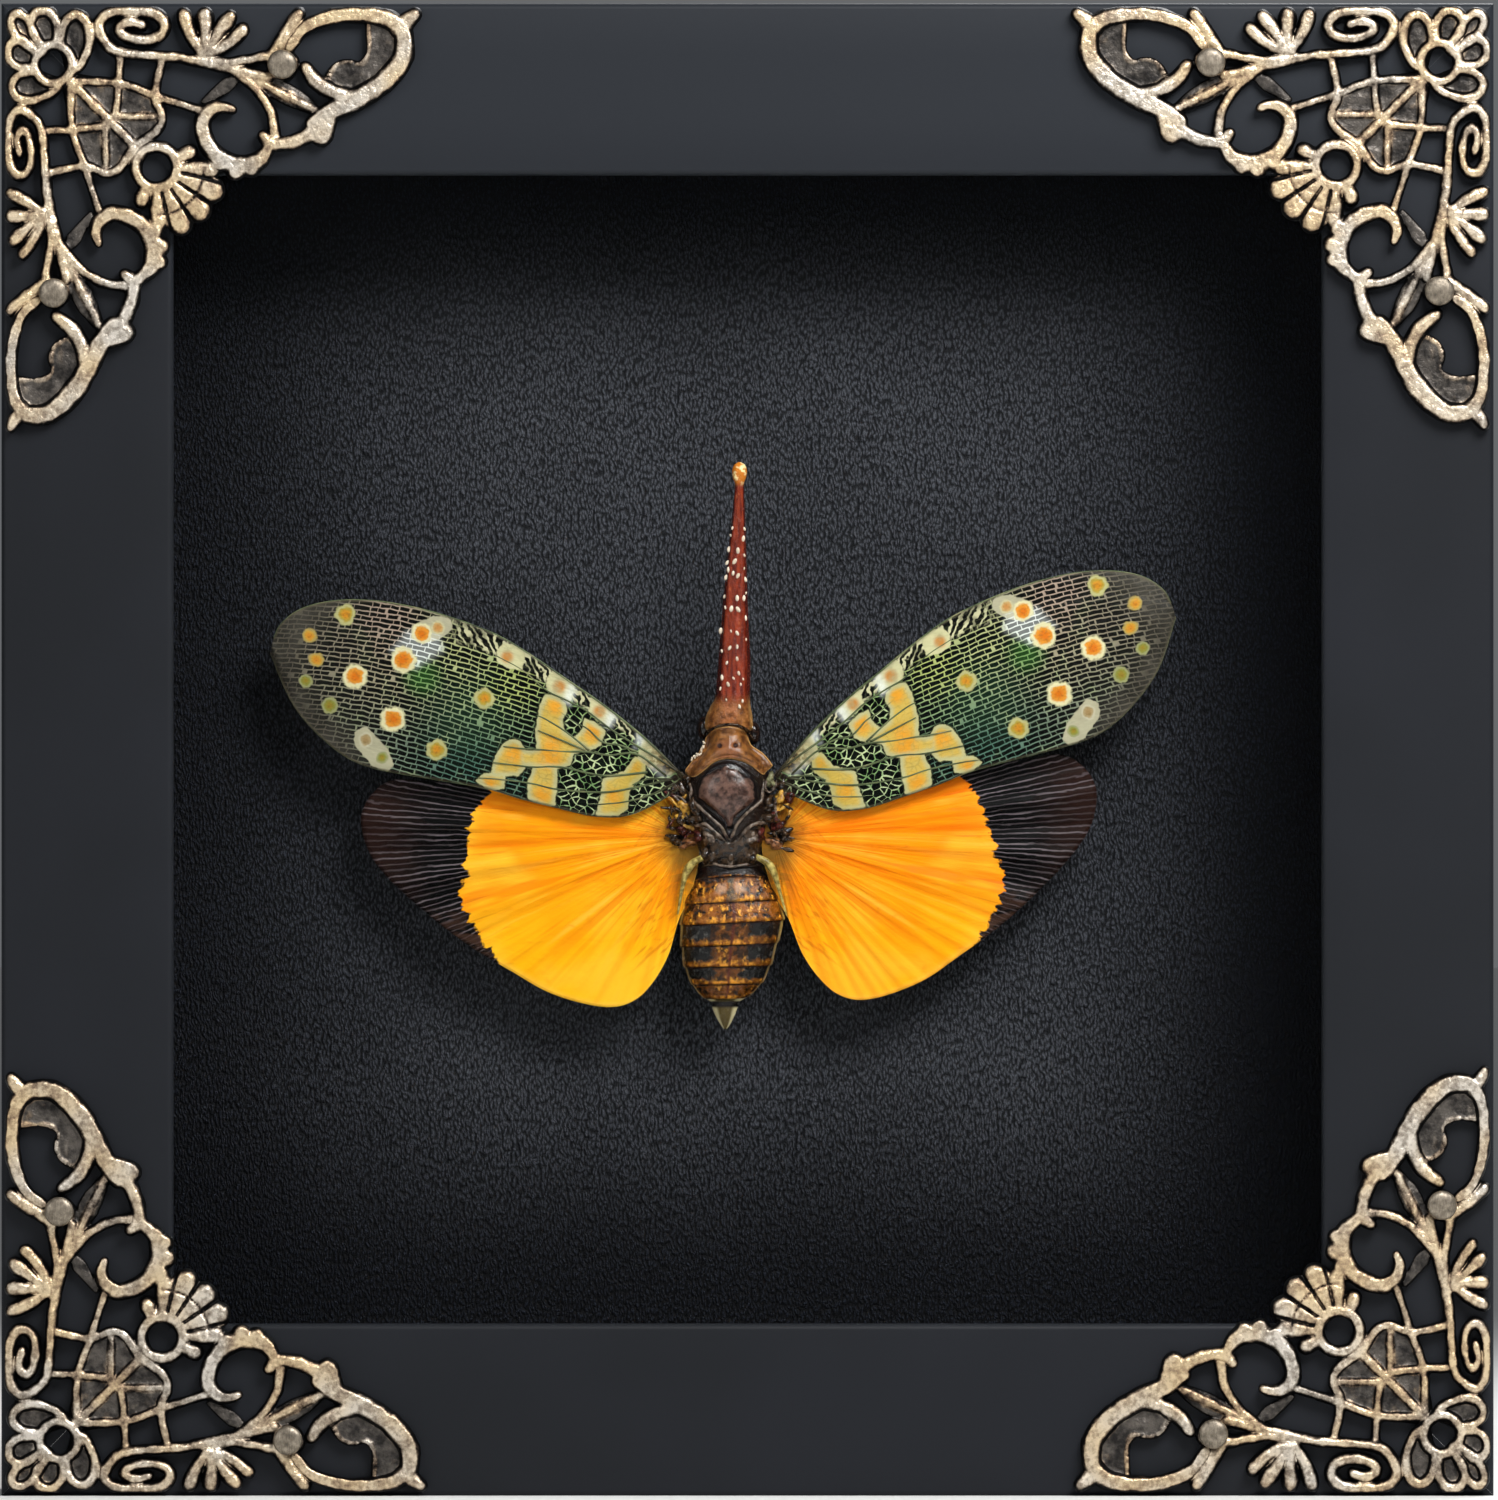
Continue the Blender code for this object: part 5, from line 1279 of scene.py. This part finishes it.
def body_material():
    s = Shader("body_cuticle")
    where = s.object_mm()
    z = where.split()[2]
    side, number, phase = (s.field(name) for name in ("side", "tergite", "phase"))
    off = abs(side)
    mottle, grain = s.noise(where, 1.5, 4, 0.65), s.noise(where, 5.0)
    streak = s.noise(s.object_mm(2.2, 1.0, 0.35), 1.3)
    hatch = s.noise(s.object_mm(1.5, 1.0, 1.1), 1.5, 3, 0.65)

    snout = streak.tones(0.35, 0.65, "55160b", "8a3218").coats(
        # The snout's sides are painted darker, as painted shade on its round form.
        ("3c0f0a", off.span(0.55, 0.95, 0.0, 0.75)),
        ("b8643a", hatch.span(0.62, 0.72, 0.0, 0.4)),
        (mottle.tones(0.5, 0.62, "c9741f", "f3dc9c"), z.span(85.9, 86.6)))
    head = mottle.tones(0.35, 0.68, "5c3216", "9c6433").coats(
        ("98582f", off.fall(0.2, 0.5, 0.8) * mottle.span(0.3, 0.6)),
        ("c99a5a", off.span(0.8, 1.0, 0.0, 0.6)))
    front = z.tones(64.9, 65.5, "1b110c", (z + mottle * 1.5).tones(67.6, 69.2, head, snout))

    # Abdomen: amber plates, with black patches to each side on the rear ones
    ragged = (mottle - 0.5) * 0.9
    rear = number.span(3.3, 3.7) * number.fall(6.3, 6.7)
    patch = (off + ragged).span(0.3, 0.42) * (phase + ragged * 0.6).fall(0.62, 0.76)
    rim = (phase + ragged * 0.5).span(0.7, 0.88) * (off + ragged).span(0.25, 0.8, 1.0, 0.1)
    keel = abs(side - 0.04).fall(0.015, 0.045)
    second = s.math("COMPARE", number, 2.0, 0.4)
    lobes = off.span(0.06, 0.14) * off.fall(0.24, 0.4) * (phase + ragged).span(0.2, 0.4)
    band = z.span(41.3, 41.6) * z.fall(41.9, 42.1)
    tail = off.tones(0.45, 0.85, "4f4220", "d3c79a").coats(("120d0a", band))
    color = mottle.tones(0.4, 0.6, "1a0c02", "8a4d0c").coats(
        # Bright amber flecks: painted highlights that stand for glints on the glossy plates.
        ("f7ac3a", hatch.span(0.56, 0.68, 0.0, 0.95)),
        ("2c1706", number.span(3.3, 3.7, 0.0, 0.5)),
        (hatch.tones(0.55, 0.7, "0f0f0f", "4b4a48"), rear * patch),
        (hatch.tones(0.4, 0.62, "6b370a", "df9630"), rim * number.span(1.3, 1.7)),
        ("4a130f", keel * number.span(2.3, 2.7, 0.0, 0.85)),
        ("c9a386", second * lobes * phase.fall(0.55, 0.75, 0.55)),
        ("4a473c", second * (off + ragged * 0.3).fall(0.05, 0.12, 0.7)),
        ("150d0b", number.fall(1.3, 1.7) * phase.span(0.75, 0.95, 1.0, 0.25)),
        ("1c0706", phase.fall(0.0, 0.18)),
        (z.tones(46.0, 50.0, "a3875a", "e0b862"), off.span(0.93, 0.985)),
        (tail, number.span(7.3, 7.7)),
        (front, number.fall(0.3, 0.7)))
    height = mottle * 0.6 + grain * 0.3 + hatch * 0.5
    return s.surface(color, mottle.span(0.3, 0.7, 0.16, 0.3), height, 0.9, 0.2, 0.3)


def shield_material(name, low, high, rim, rim_width, rough, spots_px, spot_radius, spot_color, painted_highlight=None):
    """Mottled cuticle with a coloured band along the plate's edge. The painted highlight, a lighter spot
    painted on, is a place, radius and colour.
    """
    s = Shader(name)
    where = s.object_mm()
    mottle, grain = s.noise(where, 1.4, 4, 0.65), s.noise(where, 4.5)
    color = mottle.tones(0.35, 0.65, low, high)
    # A lighter spot painted where the light catches the shield, as a painted highlight.
    if painted_highlight:
        place, radius, code = painted_highlight
        color = color.coats((code, where.away(place).fall(radius * 0.5, radius, 0.8)))
    edge = s.field("inner") + (mottle - 0.5) * rim_width
    color = color.coats((rim, edge.fall(rim_width * 0.6, rim_width, 0.95)))
    for spot in spots_px:
        x, z = front_mm(*spot)
        far = (where * (1.0, 0.0, 1.0)).away((x, 0.0, z))
        color = color.coats((spot_color, far.fall(spot_radius * 0.6, spot_radius)))
    return s.surface(color, rough, mottle + grain * 0.5, 0.5, 0.12, 0.4)


def cuticle(name, low, high, rough, depth=0.1):
    s = Shader(name)
    where = s.object_mm()
    mottle = s.noise(where, 2.2, 4, 0.65)
    height = mottle + s.noise(where, 7.0, 2, 0.5) * 0.4
    gloss = mottle.span(0.3, 0.7, rough * 0.8, rough * 1.2)
    return s.surface(mottle.tones(0.35, 0.65, low, high), gloss, height, 0.5, depth, 0.4)


def specimen_materials():
    # A painted highlight on the collar shield.
    painted_highlight = (on_body(728.0, 750.0, -0.5), 1.3, "875230")
    return {
        "collar": shield_material("pronotum_cuticle", "4d2a12", "8f5c2c", "b98a52", 0.11, 0.3,
                                  PRONOTUM_PITS_PX, 0.26, "2a0f08", painted_highlight),
        # The pin hole in the back shield is painted near black, as painted shade in the hole.
        "back": shield_material("mesonotum_cuticle", "2c1d18", "6b5046", "08070a", 0.7, 0.18,
                                [SCUTELLUM_PIT_PX], 0.34, "050405"),
        "dark": cuticle("dark_sclerite", "090707", "43301f", 0.2),
        "red": cuticle("red_sclerite", "240c08", "54201a", 0.22),
        "amber": cuticle("amber_sclerite", "8a5d1c", "d9a544", 0.3),
        "pink": cuticle("pink_sclerite", "4a2a18", "a87048", 0.3),
        "olive": cuticle("olive_sclerite", "4c4a34", "8f8d68", 0.3),
        "pale": cuticle("pale_membrane", "6b5a22", "c4b062", 0.4),
        "ridge": cuticle("ridge_cuticle", "2c211a", "77675a", 0.25),
        "wax": cuticle("wax_flecks", "c9b49c", "f0e2cc", 0.6),
        "eye": cuticle("eye", "0a0707", "2a1a14", 0.12, 0.03),
    }


# The forewing's net: rows of oblong cells, whose rows bend down from ROW_BEND_OUT on
ROW_PITCH, CELL_LENGTH = 0.43, 0.88
ROW_BEND_OUT, ROW_BEND = 21.0, 0.009
# Colours of a round mark's middle, body and rim, and the rim's inner radius as a share of the whole
SPOT_LOOKS = {
    "ringed": ("c86a18", "d08a30", "cfc89c", 0.66),
    "amber": ("c07a24", "bb8d34", "a08c50", 0.7),
    "olive": ("c07f22", "a38e38", "aaa671", 0.66),
    "green": ("8a7428", "7f8138", "8b8c60", 0.66),
    "pale": ("b98247", "bb9a63", "b8b08a", 0.7),
    "tan": ("9a7f55", "a18f68", "b3ac92", 0.7),
}


def forewing_net(s, uv, basal):
    """The net's strands, 1 along their middle: even rows, and loose cells in the basal part."""
    soft = uv + (s.noise(uv, 0.9, 2, 0.5, output="Color") - (0.5, 0.5, 0.5)) * (0.5, 0.34, 0.0)
    wide, tall, _ = soft.split()
    beyond = s.math("MAXIMUM", wide - ROW_BEND_OUT, 0.0)
    row = (tall + beyond * beyond * ROW_BEND) / ROW_PITCH
    number = s.math("FLOOR", row)
    shift = s.value("TexWhiteNoise", settings={"noise_dimensions": "1D"}, W=number + 3.0)
    sway = s.noise(s.join(wide * 0.8, number * 7.3), 1.0, 1, 0.5)
    along = s.math("FRACT", wide / CELL_LENGTH + shift * 9.0 + sway * 2.2)
    across = (0.5 - abs(s.math("FRACT", row) - 0.5)) * ROW_PITCH
    cross = (0.5 - abs(along - 0.5)) * CELL_LENGTH * 1.15
    cells = s.voronoi(soft * (1.0, 1.2, 1.0), 1.45, feature="DISTANCE_TO_EDGE", space="2D")
    gap = s.math("MINIMUM", across, cross) * (1.0 - basal) + cells * basal
    loose = s.noise(uv, 1.3, 2).span(0.35, 0.65, 0.03, 0.17)
    width = s.mix(basal, uv.split()[0].span(12, 30, 0.075, 0.09), loose)
    return (1.0 - gap / width).span(0.12, 0.6)


def forewing_material():
    s = Shader("forewing_membrane")
    uv = s.uv()
    out, lead, _ = uv.split()
    wobble = s.noise(uv, 0.6, 2, 0.5)
    basal = (out + (wobble - 0.5) * 3.0).fall(11.5, 13.5)
    strand = forewing_net(s, uv, basal)
    line = strand * s.field("yellow").span(0.06, 0.42, 0.12, 1.0)

    def near(place, low, high, top=1.0):
        """top within low of a place on the wing, and 0 beyond high."""
        return uv.away((*place, 0.0)).fall(low, high, top)

    # Green in the middle, teal below, yellow near the costa, grey and dull outwards
    patchy = s.noise(uv, 0.42)
    net = lead.tones(-4.5, 2.5, "4a695b", "84966a").coats(
        ("948872", out.span(18, 28) * lead.span(-5, 2.0, 0.45, 1.0)),
        ("a3ae80", patchy.span(0.52, 0.72, 0, 0.55)),
        ("b0b078", near((21.0, 4.6), 1.0, 4.0, 0.6)),
        ("b3b765", near((16.4, 3.6), 1.0, 3.4, 0.55)),
        ("5f8f4a", near((24.2, 1.7), 0.2, 2.6, 0.8)),
        ("6d6658", out.span(26, 33, 0, 0.75)),
        ("a58d80", near((28.6, 5.6), 1.0, 4.0, 0.6)),
        (patchy.tones(0.42, 0.58, "7c9a60", "cbd6a2"), basal * 0.7))
    color = out.tones(22, 31, "030504", "100f0d").coats(
        ("1c261a", patchy.span(0.45, 0.7, 0, 0.25)),
        ("1b3322", near((19.5, -0.8), 1.0, 5.5, 0.45)),
        ("2f5a24", near((24.2, 1.7), 0.2, 2.2, 0.4)),
        (net, line))

    # Between the cream patches the front edge is black with slanting pale dashes
    slant = (out - lead) * 7.5 + s.noise(uv, 0.9, 2) * 15.0
    dashes = s.math("SINE", slant).span(0.1, 0.7) * wobble.span(0.4, 0.55, 0.4, 1.0)
    costa = s.field("across").span(0.84, 0.89) * out.fall(21.5, 24.0, 0.95)
    # The smoky tip, with faint lines
    smoke = s.noise(uv, 0.35).tones(0.3, 0.7, "24221d", "3d3a33").coats(("6a6355", line * 0.4))
    lower = out.span(25, 29) * lead.fall(-6.6, -3.0) * 0.6

    # Yellow patches, pale at the rim and warm inside
    ragged = (s.noise(uv, 2.2, 2) - 0.5) * 0.3
    yellow, cream, white = (s.field(name) + ragged for name in ("yellow", "cream", "white"))
    core = s.field("core")
    cloth = core.tones(0.25, 1.3, "dc942a", "c9a850").coats(
        ("b8a865", s.noise(uv, 1.3).span(0.45, 0.75, 0, 0.6)),
        ("8f7c3c", strand * 0.3),
        ("b3b084", yellow.span(-0.55, -0.05)),
        ("55603a", abs(yellow - 0.06).fall(0.0, 0.07, 0.7)))
    olive = out.span(3.5, 6.5, 0.6, 0.15) * yellow.fall(-0.1, 0.1)

    # Cream patches along the front edge, brown at the root, and the white haze
    mosaic = s.noise(uv, 1.1)
    root = mosaic.tones(0.42, 0.5, "2c2419", mosaic.tones(0.52, 0.6, "6f5c38", "b3aa88"))
    pale = core.tones(0.35, 1.05, "b57a3a", "c0bb90").coats(
        (root, out.fall(2.4, 5.6)),
        ("9a9770", mosaic.span(0.4, 0.75, 0, 0.7)),
        ("a09b84", out.span(20, 23, 0, 0.8)))
    haze = white.fall(-0.5, 0.5, 0.85) * s.math("MAXIMUM", out.span(20.0, 22.0, 1.0, 0.25), strand)
    color = color.coats(
        (s.mix(dashes, "080807", "c2bd96"), costa),
        (smoke, s.field("tip").fall(-1.6, 1.3)),
        (smoke, lower),
        (cloth, yellow.fall(-0.05, 0.12)),
        ("9a8a35", olive),
        (pale, cream.fall(-0.05, 0.1)),
        ("dfe4e0", haze * out.span(1.5, 6.0, 0.35, 1.0)))

    flutter = (s.noise(uv, 1.3, 2) - 0.5) * 0.8
    grime = s.noise(uv, 4.2, 2).span(0.48, 0.66, 0.0, 0.55)
    for spot_out, spot_lead, radius, kind in SPOTS:
        middle, body, rim, inner = SPOT_LOOKS[kind]
        far = uv.away((spot_out, spot_lead, 0.0)) / radius + flutter
        disc = far.tones(0.15, inner, middle, body).coats(
            ("6b5526", grime * far.span(0.2, 0.9, 0.8, 0.3)),
            (rim, far.span(inner - 0.06, inner + 0.16)))
        color = color.coats((disc, far.fall(0.9, 1.16)))
    color = color.coats(
        ("5d5745", s.field("margin").fall(0.05, 0.25, 0.5)),
        ("20170f", (out + mosaic).fall(0.9, 3.0, 0.9)))
    height = s.noise(uv * (1.0, 2.4, 1.0), 1.4, 1)
    return s.surface(color, line.span(0.0, 1.0, 0.3, 0.5), height, 0.6, 0.1, 0.05)


def hindwing_material():
    s = Shader("hindwing_membrane")
    uv = s.uv()
    out, lead, _ = uv.split()
    turn, reach, edge = s.field("turn"), s.field("reach"), s.field("black")
    polar = s.join(turn, reach * 0.3)
    streak, fine = s.noise(polar, 0.16, 3, 0.6, 0.3), s.noise(polar, 0.6, 2)
    wrinkle = s.noise(uv * (0.6, 1.5, 1.0), 0.8, 3, 0.6, 0.8)
    cloud = s.noise(uv, 0.12, 2, 0.5)
    upper = lead.span(-14.0, -4.0, 0.25, 1.0)
    veins = abs(s.math("SINE", turn * 0.75 + streak * 7.0)).fall(0.0, 0.16, 0.7) * fine.span(0.38, 0.55)
    veined = s.math("MAXIMUM", reach.fall(4, 15), edge.span(0.3, 6.0, 0.8, 0.0))
    feather = s.noise(s.join((lead - out) * 0.3, (lead + out) * 1.5), 1.0, 2)
    feather = feather.span(0.5, 0.66, 0.0, 0.7) * out.fall(2.5, 7.5) * lead.span(-14.5, -11.0)
    inner = out.fall(0.3, 2.2, 0.9) * lead.span(-11.0, -3.0) * wrinkle.span(0.35, 0.55, 0.4, 1.0)
    base = lead.tones(-13.5, -1.0, "ffb60a", "fb960c").coats(
        ("ffc02e", cloud.fall(0.38, 0.56, 0.7)),
        ("ff9d02", cloud.span(0.52, 0.66, 0.0, 0.6)),
        ("ee7f02", streak.fall(0.4, 0.52, 0.85) * upper),
        ("ffbb3c", streak.span(0.56, 0.7, 0.0, 0.75) * upper),
        ("e07d0e", wrinkle.span(0.6, 0.74, 0.0, 0.4)),
        ("b4560a", veins * veined * upper),
        ("d27408", feather),
        (wrinkle.tones(0.4, 0.6, "70501a", "c08c2a"), (reach + fine * 2.0).fall(2.2, 5.5, 0.8)),
        ("6e4f1e", inner),
        ("ffd560", s.field("margin").fall(0.0, 0.04, 0.3)))
    # The right wing is a little deeper in colour
    right = s.object_mm().split()[0].span(0.0, 6.0)
    base = s.mix(right, base, (1.0, 0.82, 0.8), "MULTIPLY")

    # The black tip, with pale streaks painted along its folds as highlights, and a brown rim
    painted_fold_glints = s.math("SINE", turn * 5.3 + fine * 5.0 + wrinkle * 5.0).span(0.42, 1.0)
    painted_fold_glints = painted_fold_glints * s.noise(polar, 0.3, 2).span(0.42, 0.6, 0.35, 1.0) * edge.span(-9.5, -5.0, 0.4, 1.0)
    rim = (out + wrinkle * 4.0).span(23.0, 29.5, 0.0, 0.8)
    dark = s.mix(rim, "030303", "26140f").coats(
        ("6b6165", painted_fold_glints * 0.85),
        ("3f2a20", lead.fall(-9.5, -7.0, 0.8) * wrinkle.span(0.35, 0.6)))
    jag = (s.noise(uv, 1.15, 3, 0.7) - 0.5) * 1.2 + (fine - 0.5) * 1.4
    color = base.coats((dark, (edge + jag).fall(-0.1, 0.12)))
    height = (streak * 1.1 + fine * 0.5) * upper + wrinkle * 0.35
    return s.surface(color, wrinkle.span(0.3, 0.7, 0.42, 0.6), height, 0.7, 0.25, 0.05)


def vein_material():
    s = Shader("wing_veins")
    where = s.object_mm()
    from_body = abs(where.split()[0] - BODY_X)
    color = s.noise(where, 0.45).ramp((0.3, "343d29"), (0.55, "5c6745"), (0.75, "8b8462"))
    color = color.coats(("2a2016", from_body.fall(4.4, 8.0, 0.9)))
    return s.surface(color, 0.42, s.noise(where, 5.0, 2, 0.5), 0.3, 0.03, 0.2)


# Light and camera

def area_light(name, location, size, power):
    """A rectangular light that points at the frame's middle."""
    data = bpy.data.lights.new(name, "AREA")
    data.shape = "RECTANGLE"
    data.size, data.size_y = (s * MM for s in size)
    data.energy = power
    ob = add_object(name, data)
    ob.location = Vector(location) * MM
    way = Vector((0.0, 0.0, HALF_SIDE)) - Vector(location)
    ob.rotation_euler = way.to_track_quat("-Z", "Y").to_euler()


def make_studio():
    world = bpy.data.worlds.new("studio")
    bpy.context.scene.world = world
    world.use_nodes = True
    sky = world.node_tree.nodes["Background"].inputs
    sky["Color"].default_value = (0.93, 0.96, 1.0, 1.0)
    sky["Strength"].default_value = 0.15
    area_light("key", (150.0, -262.0, 315.0), (200.0, 150.0), 2.15)
    area_light("fill", (-360.0, -460.0, 260.0), (260.0, 260.0), 0.7)
    area_light("rim", (160.0, 360.0, 420.0), (300.0, 200.0), 2.2)
    s = Shader("pale_floor")
    floor_reach = 6000.0 * MM
    mesh = bpy.data.meshes.new("floor")
    corners = ((-1, -1), (1, -1), (1, 1), (-1, 1))
    mesh.from_pydata([(x * floor_reach, y * floor_reach, 0) for x, y in corners], [], [(0, 1, 2, 3)])
    mesh.materials.append(s.surface(s.mix(s.noise(s.object_mm(), 0.05, 3, 0.5), "dcdcda", "e6e6e4"), 0.7))
    add_object("floor", mesh)


def make_camera():
    """A long lens straight in front, with the photograph's own field of view."""
    data = bpy.data.cameras.new("camera")
    data.lens, data.sensor_width = 700.0, 36.0
    data.clip_start, data.clip_end = 0.05, 50.0
    distance = data.lens / data.sensor_width * PHOTO_PX[1] * PHOTO_MM
    x, z = front_mm(PHOTO_PX[0] / 2, PHOTO_PX[1] / 2)
    ob = add_object("camera", data)
    ob.location = Vector((x, FRONT_Y - distance, z)) * MM
    ob.rotation_euler = (math.radians(90), 0.0, 0.0)
    bpy.context.scene.camera = ob


make_camera()
make_studio()
bpy.context.scene.view_settings.view_transform = "Standard"

make_bars(black_paint())
make_ornaments(bronze())
make_tacks(tack_metal())
zinc, foam = steel(), foam_strip()
eased("glass_pane", clear_pane(), 0.15, 1)
eased("back_board", kraft_board(), 0.2)
for side in SIDES:
    eased(f"tab_{side}", zinc, 0.12)
    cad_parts[f"spacer_{side}"].data.materials[0] = foam
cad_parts["mount_block"].data.materials[0] = foam
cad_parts["backing_card"].data.materials[0] = leatherette()
for name in ("hanger_plate", "hanger_nail_left", "hanger_nail_right"):
    eased(name, zinc, 0.1)
fore, hind, veins = forewing_material(), hindwing_material(), vein_material()
for side in ("left", "right"):
    make_forewing(side, fore, veins)
    make_hindwing(side, hind)
mats = specimen_materials()
make_body(body_material())
make_shields(mats)
make_hinges(mats)
make_details(mats)
